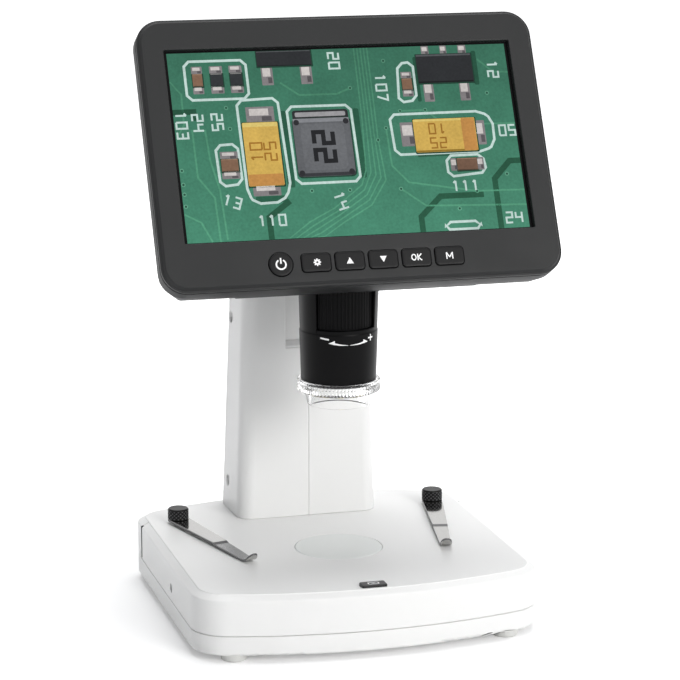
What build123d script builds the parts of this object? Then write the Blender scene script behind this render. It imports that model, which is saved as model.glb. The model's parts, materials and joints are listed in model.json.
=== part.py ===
"""LCD digital microscope on a white stand.

Frame: origin on the table under the middle of the base, +Z up, -Y towards the user, +X to the user's right.
All sizes are in millimetres. The sections below follow the object from the table upwards.
"""
from build123d import *
from math import acos, cos, pi, radians, sin, sqrt, tan
import os

os.makedirs("parts", exist_ok=True)

# ---------------------------------------------------------------- driving dimensions
# fits
running_gap = 0.05      # radial play of a shaft in its bush
sliding_gap = 0.2       # play round a button or a plate in its opening
seam_gap = 0.25         # visible line between two mouldings
clear_gap = 0.3         # curved faces of different pieces

# base
base_half_width = 79.3
base_half_depth = 82.8
front_bow_radius = 244.0
back_bow_radius = 189.0
front_corner_radius = 18.0
back_corner_radius = 15.0
feet_height = 3.0
foot_radius = 5.2
foot_recess = 0.8
foot_x = base_half_width - 19.3
foot_y = base_half_depth - 30.8
tray_top = 11.9
shell_wall_top = 28.0
stage_top = 30.2
bevel_width = 3.65
base_wall = 2.4
lip_height = 2.5
lip_thickness = 1.2
side_groove_y = base_half_depth - 34.8
side_groove_width = 1.0
side_groove_depth = 0.8
base_screw_x = base_half_width - 13.3
base_screw_y = base_half_depth - 48.8
base_boss_radius = 4.0
ballast_half_width = base_screw_x - 20.0
ballast_back = base_half_depth - 24.8
ballast_thickness = 5.0
ballast_hole_radius = 4.4
ballast_rim = 7.6       # metal left in front of the two holes for the posts

# stage light and its switch
window_radius = 20.0
window_thickness = 1.8
window_ledge = 1.2
stage_led_count = 6
stage_led_ring = 11.0
switch_x = -1.2
switch_y = -base_half_depth + 7.8
base_board_half_width = 16.0
base_board_front = 3.2
base_board_back = 9.0
switch_key = (11.4, 6.0)
switch_key_proud = 1.1
switch_travel = 0.8
switch_body_height = 6.0
socket_y = -17.6
socket_z = 18.1
socket_bore = 1.9
socket_hole = 2.2
socket_half_height = 3.6
socket_length = 9.0

# stage clips
clip_x = base_half_width - 16.6
clip_y = base_half_depth - 40.0
clip_angles = (14.0, -12.4)
leaf_lift = 1.2
leaf_thickness = 1.0
leaf_root_radius = 4.9
leaf_tip_width = 5.2
leaf_taper_end = 55.0
leaf_touch = 72.0
leaf_tip = 77.0
leaf_tip_rise = 5.2
clip_knob_radius = 4.9
clip_knob_height = 5.2
clip_stud_radius = 1.5
clip_insert_radius = 2.6
clip_insert_depth = 7.0

# column
column_top = 218.0
column_back = base_half_depth - 7.2
column_front = column_back - 36.6
column_back_slope = 0.045
column_front_half_width = 33.8
column_back_half_width = 35.0
column_side_slope = 0.03
column_front_corner = 7.0
column_back_corner = 6.0
column_wall = 2.4
slot_half_width = 11.0
slot_bottom = 112.6
slot_top = 196.0
column_screw_y = column_back - 13.6
column_screw_heights = (44.0, 124.0, 204.0)
column_boss_radius = 4.0
column_screw_head_radius = 2.3
column_screw_recess = 3.0
column_foot_x = 22.0
column_foot_margin = 9.5
cable_hole_half_width = 12.0
cable_hole_margin = 11.0

# slide and coarse focus
rod_radius = 2.5
rod_x = 15.0
bush_radius = 4.0
bush_length = 8.0
lower_bracket_z = 76.0
bracket_thickness = 6.0
plate_bottom = 115.0
plate_top = 193.0
plate_half_width = 14.0
plate_thickness = 1.5
carriage_bottom = 138.0
carriage_top = 178.0
carriage_half_width = 19.6
carriage_depth = 9.6
arm_boss_half_width = 8.0
arm_boss_bottom = 160.0
arm_boss_top = 173.0
head_column_gap = 3.0
lift_down = 30.0
lift_up = 22.0
gear_module = 0.8
pinion_teeth = 12
rack_addendum = 0.65
gear_width = 8.0
tooth_backlash = 0.12
rack_body = 2.0
pinion_z = 152.0
shaft_radius = 2.5
coarse_knob_radius = 14.0
coarse_knob_length = 18.0
coarse_knob_flutes = 24

# barrel
barrel_y = column_front - 53.0
window_y = barrel_y
barrel_bottom = 108.2
barrel_top = 157.0
barrel_bottom_radius = 16.95
barrel_top_radius = 18.55
barrel_wall = 1.2
barrel_flange = 3.0
barrel_flange_bore = 8.0
barrel_screw_ring = 11.0
barrel_lip_radius = 15.2
window_bottom = 134.6
window_half_angle = 50.0
focus_ring_radius = 16.15
focus_ring_top = 153.6
focus_ring_ribs = 60
focus_ring_bore = 14.2
focus_turn = 150.0
lens_tube_bottom = 124.0
lens_tube_top = 149.0
lens_bore = 8.0
lens_travel = 2.0
led_board_z = 110.6
led_board_thickness = 1.4
led_count = 8
led_ring = 10.6

# clear cap
cap_bottom = 97.9
cap_collar_bottom = 104.2
cap_collar_top = 109.8
cap_collar_radius = 19.0
cap_skirt_top_radius = 15.5
cap_skirt_bottom_radius = 14.2
cap_skirt_wall = 1.8
cap_pull = 14.0

# head arm and hinge
arm_top = 175.0
arm_half_width = 15.2
arm_post_radius = 3.0
arm_wall = 2.4
arm_cover_thickness = 2.4
sensor_board_side = 20.0
sensor_bore = 6.5
sensor_screw_xy = 7.2
hinge_post_half_width = 10.0
hinge_post_radius = 8.0
hinge_pin_radius = 3.0
hinge_washer_thickness = 0.8
hinge_ear_thickness = 5.0
hinge_ear_radius = 7.5
hinge_plate_half_width = 24.0
hinge_plate_half_height = 15.0
hinge_plate_screw_inset = 4.5
hinge_depth = 33.3      # behind the screen's face
hinge_height = -3.2     # above the middle of the picture, along the screen

# screen housing, measured along the screen from the middle of the picture
screen_tilt = 26.8
screen_y = barrel_y - 20.3
screen_z = arm_top + 45.9
panel_size = (164.0, 97.2, 4.0)
view_width = panel_size[0] - 6.7
view_height = panel_size[1] - 9.6
face_half_width = panel_size[0] / 2 + 6.2
face_top = panel_size[1] / 2 + 7.7
face_bottom = -panel_size[1] / 2 - 14.5
face_corner = 9.4
face_bevel = 1.1
face_bevel_depth = 1.7
rim_ledge = 0.7
bezel_depth = 3.4
bezel_plate = 2.5
shell_start = 3.9
shell_straight = 10.4
shell_depth = 20.0
shell_inset = 9.0
shell_bottom_inset = 1.6
screen_wall = 2.0
case_screw_x = face_half_width - 13.2
case_screw_inset = 3.3
main_board_size = (104.0, 42.0)
main_board_right = face_half_width - 4.2
main_board_bottom = 2.0
socket_mouth = face_half_width - 2.2
battery_size = (100.0, 6.0, 44.0)
battery_left = -panel_size[0] / 2 + 12.0
battery_bottom = -panel_size[1] / 2 - 1.4
rib_thickness = 3.0
bulge_half_width = 55.0
bulge_depth = 21.8
bulge_height = 16.0

# screen buttons
key_pitch = 15.0
key_size = (13.0, 8.1)
key_corner = 1.6
power_radius = 5.3
power_x = -38.1
key_row = -panel_size[1] / 2 - 6.3
key_proud = 0.5
key_flange = 0.7
key_flange_thickness = 0.9
key_travel = 0.5
key_board_depth = 6.3
key_board_half = 50.5
key_board_pin_x = 48.0
tact_height = 1.6
board_thickness = 1.6


# ---------------------------------------------------------------- small helpers
def block(x0, x1, y0, y1, z0, z1):
    """A box between two corners."""
    middle = ((x0 + x1) / 2, (y0 + y1) / 2, (z0 + z1) / 2)
    return Pos(*middle) * Box(abs(x1 - x0), abs(y1 - y0), abs(z1 - z0))


def rod(radius, z0, z1, x=0.0, y=0.0):
    """A round bar along Z."""
    return Pos(x, y, (z0 + z1) / 2) * Cylinder(radius, z1 - z0)


def rod_x_axis(radius, x0, x1, y, z):
    """A round bar along X."""
    return Pos((x0 + x1) / 2, y, z) * Rot(0, 90, 0) * Cylinder(radius, abs(x1 - x0))


def rod_y_axis(radius, y0, y1, x, z):
    """A round bar along Y."""
    return Pos(x, (y0 + y1) / 2, z) * Rot(90, 0, 0) * Cylinder(radius, abs(y1 - y0))


def taper(radius_low, radius_high, z0, z1, x=0.0, y=0.0):
    """A cone frustum along Z."""
    return Pos(x, y, (z0 + z1) / 2) * Cone(radius_low, radius_high, z1 - z0)


def one_solid(shape):
    """The largest solid of a cut or fused shape."""
    return max(shape.solids(), key=lambda solid: solid.volume)


def group(pieces):
    """Several separate solids kept together in one node."""
    return Compound(children=list(pieces))


def save(name, shape):
    export_step(shape, f"parts/{name}.step")


def pan_screw(head_radius, head_height, shank_radius, shank_length):
    """A pan-head screw that stands head down at z = 0, its shank pointing up."""
    head = Pos(0, 0, head_height / 2) * Cylinder(head_radius, head_height)
    head = fillet(head.edges().group_by(Axis.Z)[0], head_height * 0.35)
    shank = Pos(0, 0, head_height + shank_length / 2) * Cylinder(shank_radius, shank_length)
    driver = Pos(0, 0, head_height * 0.25) * Box(head_radius * 1.2, head_height * 0.3, head_height * 0.5)
    cross = driver + Rot(0, 0, 90) * driver
    return head + shank - cross


# ---------------------------------------------------------------- base
def bow_depth(bow_radius, half_width):
    """How far an arc of this radius falls back at half_width from its crown."""
    return bow_radius - sqrt(bow_radius**2 - half_width**2)


def base_face(inset, z):
    """The base's outline, drawn in by inset: straight sides, bowed front and back, round corners."""
    half_width = base_half_width - inset
    front = -base_half_depth + inset
    back = base_half_depth - inset
    front_corner = front + bow_depth(front_bow_radius, half_width)
    back_corner = back - bow_depth(back_bow_radius, half_width)
    front_arc = ThreePointArc((-half_width, front_corner), (0, front), (half_width, front_corner))
    right = Line((half_width, front_corner), (half_width, back_corner))
    back_arc = ThreePointArc((half_width, back_corner), (0, back), (-half_width, back_corner))
    left = Line((-half_width, back_corner), (-half_width, front_corner))
    face = make_face([front_arc, right, back_arc, left])
    near = face.vertices().sort_by(Axis.Y)[:2]
    face = fillet(near, front_corner_radius - inset)
    far = face.vertices().sort_by(Axis.Y)[-2:]
    face = fillet(far, back_corner_radius - inset)
    return Pos(0, 0, z) * face


def base_slab(inset, z0, z1):
    return extrude(base_face(inset, z0), amount=z1 - z0, dir=(0, 0, 1))


shell_bottom = tray_top + seam_gap
base_screw_spots = [(x, y) for x in (-base_screw_x, base_screw_x) for y in (-base_screw_y, base_screw_y)]
clip_spots = [(-clip_x, clip_y), (clip_x, clip_y)]
floor_top = feet_height + base_wall
stage_under = stage_top - base_wall
window_seat = stage_top - window_thickness
key_stem_bottom = stage_under - 1.2
switch_body_top = key_stem_bottom - switch_travel - 0.1
switch_board_top = switch_body_top - switch_body_height
screw_shank = 1.25
column_foot_screws = [(x, y) for x in (-column_foot_x, column_foot_x)
                      for y in (column_front + column_foot_margin, column_back - column_foot_margin)]


def make_base_upper_shell():
    outer = base_slab(0, shell_bottom, shell_wall_top)
    outer += loft([base_face(0, shell_wall_top), base_face(bevel_width, stage_top)])
    shell = outer - base_slab(base_wall, shell_bottom - 1, shell_wall_top - base_wall / 2)
    shell -= base_slab(base_wall + bevel_width, shell_wall_top - base_wall, stage_under)
    for side in (-1, 1):
        edge = side * base_half_width
        shell -= block(edge - side * (bevel_width + side_groove_depth), edge + side, side_groove_y,
                       side_groove_y + side_groove_width, shell_wall_top - side_groove_depth, stage_top + 1)
        shell -= block(edge - side * side_groove_depth, edge + side, side_groove_y,
                       side_groove_y + side_groove_width, shell_bottom - 1, stage_top + 1)
    for x, y in base_screw_spots:
        shell += rod(base_boss_radius, floor_top + base_boss_radius, stage_under + 0.1, x, y)
        shell -= rod(screw_shank, floor_top, stage_under - 2, x, y)
    for x, y in clip_spots:
        shell += rod(clip_insert_radius + base_wall, stage_top - clip_insert_depth - 1, stage_under + 0.1,
                     x, y)
        shell -= rod(clip_insert_radius, stage_top - clip_insert_depth, stage_top + 1, x, y)
    shell += rod(window_radius + base_wall, window_seat - base_wall, stage_under + 0.1, 0, window_y)
    shell -= rod(window_radius + sliding_gap, window_seat, stage_top + 1, 0, window_y)
    shell -= rod(window_radius - window_ledge, stage_under - 9, window_seat + 1, 0, window_y)
    opening_x, opening_y = switch_key[0] / 2 + sliding_gap, switch_key[1] / 2 + sliding_gap
    shell -= block(switch_x - opening_x, switch_x + opening_x, switch_y - opening_y, switch_y + opening_y,
                   stage_under - 3, stage_top + 1)
    shell -= rod_x_axis(socket_hole, -base_half_width - 1, -base_half_width + base_wall + 1, socket_y,
                        socket_z)
    for x, y in column_foot_screws:
        shell -= rod(screw_shank + 0.3, stage_under - 1, stage_top + 1, x, y)
    shell -= block(-cable_hole_half_width, cable_hole_half_width, column_front + cable_hole_margin,
                   column_back - cable_hole_margin, stage_under - 1, stage_top + 1)
    return one_solid(shell)


def make_base_lower_tray():
    tray = base_slab(0, feet_height, tray_top)
    bottom_edges = tray.edges().filter_by(lambda edge: edge.bounding_box().max.Z < feet_height + 0.01)
    tray = fillet(bottom_edges, 1.5)
    tray -= base_slab(base_wall, floor_top, tray_top + 1)
    lip = base_slab(base_wall + sliding_gap, tray_top - 1, tray_top + lip_height)
    lip -= base_slab(base_wall + sliding_gap + lip_thickness, tray_top - 2, tray_top + lip_height + 1)
    bridge = base_slab(base_wall - 0.5, tray_top - 1.5, tray_top)
    bridge -= base_slab(base_wall + sliding_gap + lip_thickness, tray_top - 2, tray_top + 1)
    tray += bridge
    tray += lip
    for x, y in base_screw_spots:
        tray += rod(base_boss_radius, floor_top - 0.1, floor_top + base_boss_radius, x, y)
        tray -= rod(screw_shank + running_gap, feet_height - 1, floor_top + base_boss_radius + 1, x, y)
        tray -= rod(2.6, feet_height - 1, feet_height + 2.4, x, y)
    for x in (-foot_x, foot_x):
        for y in (-foot_y, foot_y):
            tray -= rod(foot_radius + running_gap, feet_height - 1, feet_height + foot_recess, x, y)
    post_top = socket_z - socket_half_height
    tray += block(-base_half_width + base_wall + 2, -base_half_width + base_wall + socket_length,
                  socket_y - 4, socket_y + 4, floor_top - 0.1, post_top)
    tray += block(switch_x - 14, switch_x + 14, switch_y + 3.2, switch_y + 7.0, floor_top - 0.1,
                  switch_board_top - board_thickness)
    tray += rod(4, floor_top - 0.1, stage_led_board_z, 14.0, window_y)
    tray += rod(4, floor_top - 0.1, stage_led_board_z, -14.0, window_y)
    return one_solid(tray)


def make_feet():
    feet = []
    for x in (-foot_x, foot_x):
        for y in (-foot_y, foot_y):
            foot = rod(foot_radius, 0, feet_height + foot_recess, x, y)
            feet.append(fillet(foot.edges().group_by(Axis.Z)[0], 0.8))
    return group(feet)


def make_base_screws():
    length = floor_top + base_boss_radius + 8 - feet_height - 0.6 - 1.6
    screw = pan_screw(2.4, 1.6, screw_shank - running_gap, length)
    return group([Pos(x, y, feet_height + 0.8) * screw for x, y in base_screw_spots])


def make_ballast_plate():
    front = window_y - ballast_hole_radius - ballast_rim
    plate = block(-ballast_half_width, ballast_half_width, front, ballast_back, floor_top,
                  floor_top + ballast_thickness)
    plate = fillet(plate.edges().filter_by(Axis.Z), 4)
    for x in (-14.0, 14.0):
        plate -= rod(ballast_hole_radius, floor_top - 1, floor_top + ballast_thickness + 1, x, window_y)
    return plate


stage_led_board_z = window_seat - 9.0


def make_stage_window():
    disc = rod(window_radius, window_seat, stage_top, 0, window_y)
    return chamfer(disc.edges().group_by(Axis.Z)[-1], 0.3)


def make_stage_led_board():
    """A round board with a ring of light-emitting chips under the window."""
    top = stage_led_board_z + board_thickness
    board = rod(window_radius - 2, stage_led_board_z, top, 0, window_y)
    chip = block(-1.75, 1.75, -1.4, 1.4, top - 0.1, top + 0.9)
    for i in range(stage_led_count):
        turn = Rot(0, 0, i * 360 / stage_led_count)
        board += Pos(0, window_y, 0) * turn * Pos(stage_led_ring, 0, 0) * chip
    return board


def make_light_switch_key():
    half_x, half_y = switch_key[0] / 2, switch_key[1] / 2
    cap = block(-half_x, half_x, -half_y, half_y, stage_under - 0.4, stage_top + switch_key_proud)
    cap = fillet(cap.edges().filter_by(Axis.Z), 0.8)
    cap = fillet(cap.edges().group_by(Axis.Z)[-1], 0.4)
    stem = block(-2.2, 2.2, -1.6, 1.6, key_stem_bottom, stage_under)
    return Pos(switch_x, switch_y, 0) * (cap + stem)


def make_base_board():
    """The lamp driver's small board with the body of the push switch on it."""
    top = switch_board_top
    board = block(-base_board_half_width, base_board_half_width, -base_board_front, base_board_back,
                  top - board_thickness, top)
    body = block(-6.5, 6.5, -2.9, 2.9, top - 0.1, switch_body_top)
    body -= block(-2.5, 2.5, -1.9, 1.9, switch_body_top - 1.5, switch_body_top + 1)
    return Pos(switch_x, switch_y, 0) * (board + body)


def make_power_socket():
    """A barrel jack behind its hole in the left wall."""
    mouth = -base_half_width + base_wall + 0.1
    back = mouth + socket_length
    body = block(mouth, back, socket_y - 4, socket_y + 4, socket_z - socket_half_height,
                 socket_z + socket_half_height)
    body -= rod_x_axis(socket_bore, mouth - 1, back - 2, socket_y, socket_z)
    body += rod_x_axis(0.6, mouth + 1, back - 1, socket_y, socket_z)
    return one_solid(body)


# ---------------------------------------------------------------- stage clips
leaf_bottom = stage_top + leaf_lift
leaf_top = leaf_bottom + leaf_thickness


def leaf_plan(z0, z1):
    """The leaf seen from above, pointing along -Y: a round root, a taper and a narrow tip."""
    half_tip = leaf_tip_width / 2
    root = Pos(0, 0, z0) * Circle(leaf_root_radius)
    outline = Polyline((-leaf_root_radius, 0), (-half_tip, -leaf_taper_end), (-half_tip, -leaf_tip),
                       (half_tip, -leaf_tip), (half_tip, -leaf_taper_end), (leaf_root_radius, 0), close=True)
    return extrude(root + Pos(0, 0, z0) * make_face(outline), amount=z1 - z0, dir=(0, 0, 1))


def make_leaf():
    """A strip with its side profile bent down to the stage and curled up at the tip."""
    touch = stage_top + clear_gap
    upper = [(-leaf_root_radius, leaf_top), (44.0, leaf_top), (leaf_taper_end, leaf_top - 0.2),
             (leaf_touch, touch + leaf_thickness), (leaf_tip, touch + leaf_tip_rise)]
    lower = [(leaf_tip + 0.2, touch + leaf_tip_rise - leaf_thickness), (leaf_touch + 0.4, touch),
             (leaf_taper_end - 0.2, leaf_bottom - 0.2), (44.0, leaf_bottom), (-leaf_root_radius, leaf_bottom)]
    side = make_face(Polyline(*[(0, -s, z) for s, z in upper + lower], close=True))
    strip = extrude(side, amount=leaf_root_radius, both=True, dir=(1, 0, 0))
    leaf = strip & leaf_plan(stage_top - 1, stage_top + 12)
    washer = rod(leaf_root_radius - 0.9, stage_top, leaf_bottom + 0.1)
    return one_solid(leaf + washer - rod(clip_stud_radius + running_gap, stage_top - 1, leaf_top + 1))


def make_clip_knob():
    knob = rod(clip_knob_radius, leaf_top, leaf_top + clip_knob_height)
    knob = chamfer(knob.edges().group_by(Axis.Z)[-1], 0.6)
    groove = Pos(clip_knob_radius + 0.15, 0, 0) * rod(0.35, leaf_top - 1, leaf_top + clip_knob_height + 1)
    for i in range(30):
        knob -= Rot(0, 0, i * 12) * groove
    stud = rod(clip_stud_radius, stage_top - clip_insert_depth + 1, leaf_top + 0.1)
    return one_solid(knob + stud)


def make_clip_inserts():
    bottom = stage_top - clip_insert_depth
    insert = rod(clip_insert_radius - running_gap, bottom, stage_top) - rod(
        clip_stud_radius + running_gap, bottom - 1, stage_top + 1)
    return group([Pos(x, y, 0) * insert for x, y in clip_spots])


# ---------------------------------------------------------------- column
def column_section(z, inset):
    """The column's plan at height z: wider at the back, drawn in by inset, corners rounded."""
    rise = z - stage_top
    front_half = column_front_half_width - column_side_slope * rise - inset
    back_half = column_back_half_width - column_side_slope * rise - inset
    front = column_front + inset
    back = column_back - column_back_slope * rise - inset
    face = make_face(Polyline((-front_half, front), (front_half, front), (back_half, back),
                              (-back_half, back), close=True))
    near = face.vertices().sort_by(Axis.Y)[:2]
    face = fillet(near, max(column_front_corner - inset, 1.0))
    far = face.vertices().sort_by(Axis.Y)[-2:]
    face = fillet(far, max(column_back_corner - inset, 1.0))
    return Pos(0, 0, z) * face


def column_core(inset, z0, z1):
    return loft([column_section(z0, inset), column_section(z1, inset)])


def column_side_x(y, z):
    """Half width of the column's outer side at a height and depth."""
    rise = z - stage_top
    share = (y - column_front) / (column_back - column_back_slope * rise - column_front)
    width = column_front_half_width + share * (column_back_half_width - column_front_half_width)
    return width - column_side_slope * rise


inner_front = column_front + column_wall
plate_front = inner_front + clear_gap
carriage_front = plate_front + plate_thickness
carriage_back = carriage_front + carriage_depth
rod_y = carriage_front + carriage_depth / 2
rack_root = carriage_back + rack_body
pitch_plane = rack_root + 1.25 * gear_module
pitch_radius = gear_module * pinion_teeth / 2
pinion_y = pitch_plane + pitch_radius
lower_bracket_top = lower_bracket_z + bracket_thickness
upper_bracket_z = carriage_top + lift_up + 2.0
column_inner_top = column_top - column_wall
bracket_back = rod_y + 6.0
shaft_wall_x = column_side_x(pinion_y, pinion_z)
shaft_bush_radius = shaft_radius + 1.5


def make_column_shell(side):
    """One half of the column: side is -1 for the left half and 1 for the right half."""
    shell = column_core(0, stage_top, column_top)
    shell = fillet(shell.edges().group_by(Axis.Z)[-1], 2.0)
    shell -= column_core(column_wall, stage_top + column_wall, column_inner_top)
    shell -= block(-slot_half_width, slot_half_width, column_front - 1, inner_front + 1, slot_bottom,
                   slot_top)
    ledge_x = column_side_x(rod_y, lower_bracket_z)
    ledge = block(side * (ledge_x - 1), side * 24, inner_front - 0.5, bracket_back, lower_bracket_z - 2.5,
                  lower_bracket_z)
    shell += ledge
    top_x = column_side_x(rod_y, upper_bracket_z)
    shell += block(side * (top_x - 1), side * 23, inner_front - 0.5, bracket_back,
                   upper_bracket_z + bracket_thickness, column_inner_top + 0.1)
    for z in column_screw_heights:
        reach = column_side_x(column_screw_y, z) - 1
        shell += rod_x_axis(column_boss_radius, 0, side * reach, column_screw_y, z)
    for x, y in column_foot_screws:
        shell += rod(3.2, stage_top, stage_top + 14, x, y)
    shell -= block(-cable_hole_half_width, cable_hole_half_width, column_front + cable_hole_margin,
                   column_back - cable_hole_margin, stage_top - 1, stage_top + column_wall + 1)
    shell &= block(0, side * 60, column_front - 5, column_back + 5, stage_top - 1, column_top + 1)
    for z in column_screw_heights:
        reach = column_side_x(column_screw_y, z)
        if side < 0:
            shell -= rod_x_axis(column_screw_head_radius + clear_gap, -reach - 1,
                                -reach + column_screw_recess, column_screw_y, z)
            shell -= rod_x_axis(screw_shank + 0.2, -reach - 1, 1, column_screw_y, z)
        else:
            shell -= rod_x_axis(screw_shank, -1, reach - column_wall - 2, column_screw_y, z)
    for x, y in column_foot_screws:
        shell -= rod(screw_shank, stage_top - 1, stage_top + 12, x, y)
    bore = shaft_bush_radius + running_gap
    shell -= rod_x_axis(bore, side * (shaft_wall_x - column_wall - 3), side * (shaft_wall_x + 2), pinion_y,
                        pinion_z)
    return one_solid(shell)


def make_column_side_screws():
    screws = []
    for z in column_screw_heights:
        reach = column_side_x(column_screw_y, z)
        length = reach - column_screw_recess + 12
        screw = pan_screw(column_screw_head_radius, 1.5, screw_shank - running_gap, length)
        screws.append(Pos(-reach + column_screw_recess - 1.5, column_screw_y, z) * Rot(0, 90, 0) * screw)
    return group(screws)


def make_column_foot_screws():
    screw = pan_screw(2.6, 1.6, screw_shank - running_gap, base_wall + 9)
    return group([Pos(x, y, stage_under - 1.6) * screw for x, y in column_foot_screws])


def make_guide_bracket(z0):
    """A block across the inside of the column that holds one end of both guide rods."""
    z1 = z0 + bracket_thickness
    bracket = block(-column_front_half_width, column_front_half_width, column_front, bracket_back, z0, z1)
    bracket &= column_core(column_wall + clear_gap, z0, z1)
    for x in (-rod_x, rod_x):
        bracket -= rod(rod_radius + running_gap, z0 - 1, z1 + 1, x, rod_y)
    gap = gear_width / 2 + 1
    bracket -= block(-gap, gap, bracket_back - 4, bracket_back + 1, z0 - 1, z1 + 1)
    if z0 > pinion_z:
        gap = plate_half_width + 1
        bracket -= block(-gap, gap, column_front, carriage_front + clear_gap, z0 - 1, z1 + 1)
    return bracket


def make_guide_rods():
    top = upper_bracket_z + bracket_thickness
    return group([rod(rod_radius, lower_bracket_z, top, x, rod_y) for x in (-rod_x, rod_x)])


# ---------------------------------------------------------------- rack, pinion and coarse focus
pressure_angle = radians(20)


def involute_point(base_radius, radius, start_angle):
    """Point of a circle's involute at a radius, turned by start_angle."""
    roll = sqrt(max((radius / base_radius) ** 2 - 1, 0))
    angle = roll - acos(min(base_radius / radius, 1)) + start_angle
    return (radius * cos(angle), radius * sin(angle))


def pinion_face():
    """An involute pinion with full-depth roots; tooth 0 points along +X of its own sketch."""
    base_radius = pitch_radius * cos(pressure_angle)
    tip = pitch_radius + gear_module * 0.9
    root = pitch_radius - gear_module * 1.1
    half_tooth = (pi * gear_module / 2 - tooth_backlash) / 2 / pitch_radius
    flank_start = -half_tooth - (tan(pressure_angle) - pressure_angle)
    steps = [base_radius + (tip - base_radius) * i / 5 for i in range(6)]
    lower = [involute_point(base_radius, r, flank_start) for r in steps]
    upper = [(x, -y) for x, y in reversed(lower)]
    foot = (root * cos(flank_start), root * sin(flank_start))
    outline = Polyline((0, 0), foot, *lower, *upper, (foot[0], -foot[1]), close=True)
    tooth = make_face(outline)
    gear = Circle(root)
    for i in range(pinion_teeth):
        gear += Rot(0, 0, i * 360 / pinion_teeth) * tooth
    return gear


def make_pinion():
    """The pinion sits on the shaft with one tooth gap facing the rack's middle tooth."""
    gear = extrude(pinion_face(), amount=gear_width / 2, both=True)
    gear = Rot(0, 0, 180 + 180 / pinion_teeth) * gear
    gear -= rod(shaft_radius + running_gap, -gear_width, gear_width)
    turned = Plane(origin=(0, pinion_y, pinion_z), x_dir=(0, 1, 0), z_dir=(1, 0, 0)).location * gear
    return turned


def make_rack():
    """A straight rack whose teeth stay in mesh over the whole travel of the head."""
    pitch = pi * gear_module
    low = pinion_z - lift_up - 2 * pitch
    high = pinion_z + lift_down + 2 * pitch
    addendum = rack_addendum * gear_module
    half_pitch_width = (pi * gear_module / 2 - tooth_backlash) / 2
    half_tip = half_pitch_width - addendum * tan(pressure_angle)
    dedendum = pitch_plane - rack_root
    half_root = half_pitch_width + dedendum * tan(pressure_angle)
    tip_y = pitch_plane + addendum
    body = block(-gear_width / 2, gear_width / 2, carriage_back, rack_root, low, high)
    first = round((low - pinion_z) / pitch) + 1
    last = round((high - pinion_z) / pitch) - 1
    for i in range(first, last + 1):
        z = pinion_z + i * pitch
        profile = Polyline((0, rack_root - 0.1, z - half_root), (0, rack_root, z - half_root),
                           (0, tip_y, z - half_tip), (0, tip_y, z + half_tip), (0, rack_root, z + half_root),
                           (0, rack_root - 0.1, z + half_root), close=True)
        body += extrude(make_face(profile), amount=gear_width / 2, both=True, dir=(1, 0, 0))
    return one_solid(body)


def make_focus_shaft():
    reach = shaft_wall_x + coarse_knob_length - 2
    return rod_x_axis(shaft_radius, -reach, reach, pinion_y, pinion_z)


def make_shaft_bushes():
    bushes = []
    for side in (-1, 1):
        inner = side * (shaft_wall_x - column_wall - 1)
        bush = rod_x_axis(shaft_bush_radius, inner, side * (shaft_wall_x + 0.4), pinion_y, pinion_z)
        bushes.append(bush - rod_x_axis(shaft_radius + running_gap, -70, 70, pinion_y, pinion_z))
    return group(bushes)


def make_coarse_knob(side):
    """A fluted hand knob, hollow towards the column, pressed on the shaft."""
    start = shaft_wall_x + 1.0
    knob = Pos(0, 0, coarse_knob_length / 2) * Cylinder(coarse_knob_radius, coarse_knob_length)
    knob = fillet(knob.edges().group_by(Axis.Z)[-1], 1.5)
    flute = Pos(coarse_knob_radius + 0.5, 0, coarse_knob_length / 2 - 2) * Cylinder(1.0, coarse_knob_length)
    for i in range(coarse_knob_flutes):
        knob -= Rot(0, 0, i * 360 / coarse_knob_flutes) * flute
    knob -= Cylinder(shaft_radius + running_gap, 2 * (coarse_knob_length - 2.5))
    plane = Plane(origin=(side * start, pinion_y, pinion_z), x_dir=(0, 1, 0), z_dir=(side, 0, 0))
    return plane.location * knob


# ---------------------------------------------------------------- carriage
def make_slot_plate():
    plate = block(-plate_half_width, plate_half_width, plate_front, carriage_front, plate_bottom, plate_top)
    gap = arm_boss_half_width + running_gap
    return plate - block(-gap, gap, plate_front - 1, carriage_front + 1, arm_boss_bottom - running_gap,
                         arm_boss_top + running_gap)


arm_back = column_front - head_column_gap
arm_screw_x = 4.5
arm_screw_z = (arm_boss_bottom + arm_boss_top) / 2


def make_carriage():
    body = block(-carriage_half_width, carriage_half_width, carriage_front, carriage_back, carriage_bottom,
                 carriage_top)
    body = fillet(body.edges().filter_by(Axis.Z), 1.0)
    body += block(-arm_boss_half_width, arm_boss_half_width, arm_back, carriage_front + 0.1, arm_boss_bottom,
                  arm_boss_top)
    for x in (-rod_x, rod_x):
        body -= rod(bush_radius + running_gap, carriage_bottom - 1, carriage_bottom + bush_length, x, rod_y)
        body -= rod(bush_radius + running_gap, carriage_top - bush_length, carriage_top + 1, x, rod_y)
        body -= rod(rod_radius + 0.4, carriage_bottom, carriage_top, x, rod_y)
    for x in (-arm_screw_x, arm_screw_x):
        body -= rod_y_axis(screw_shank, arm_back - 1, arm_back + 9, x, arm_screw_z)
    return body


def make_carriage_bushes():
    bushes = []
    for x in (-rod_x, rod_x):
        for z0 in (carriage_bottom, carriage_top - bush_length):
            ring = rod(bush_radius, z0, z0 + bush_length, x, rod_y)
            bushes.append(ring - rod(rod_radius + running_gap, z0 - 1, z0 + bush_length + 1, x, rod_y))
    return group(bushes)


# ---------------------------------------------------------------- barrel and optics
def barrel_radius(z):
    share = (z - barrel_bottom) / (barrel_top - barrel_bottom)
    return barrel_bottom_radius + share * (barrel_top_radius - barrel_bottom_radius)


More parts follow.
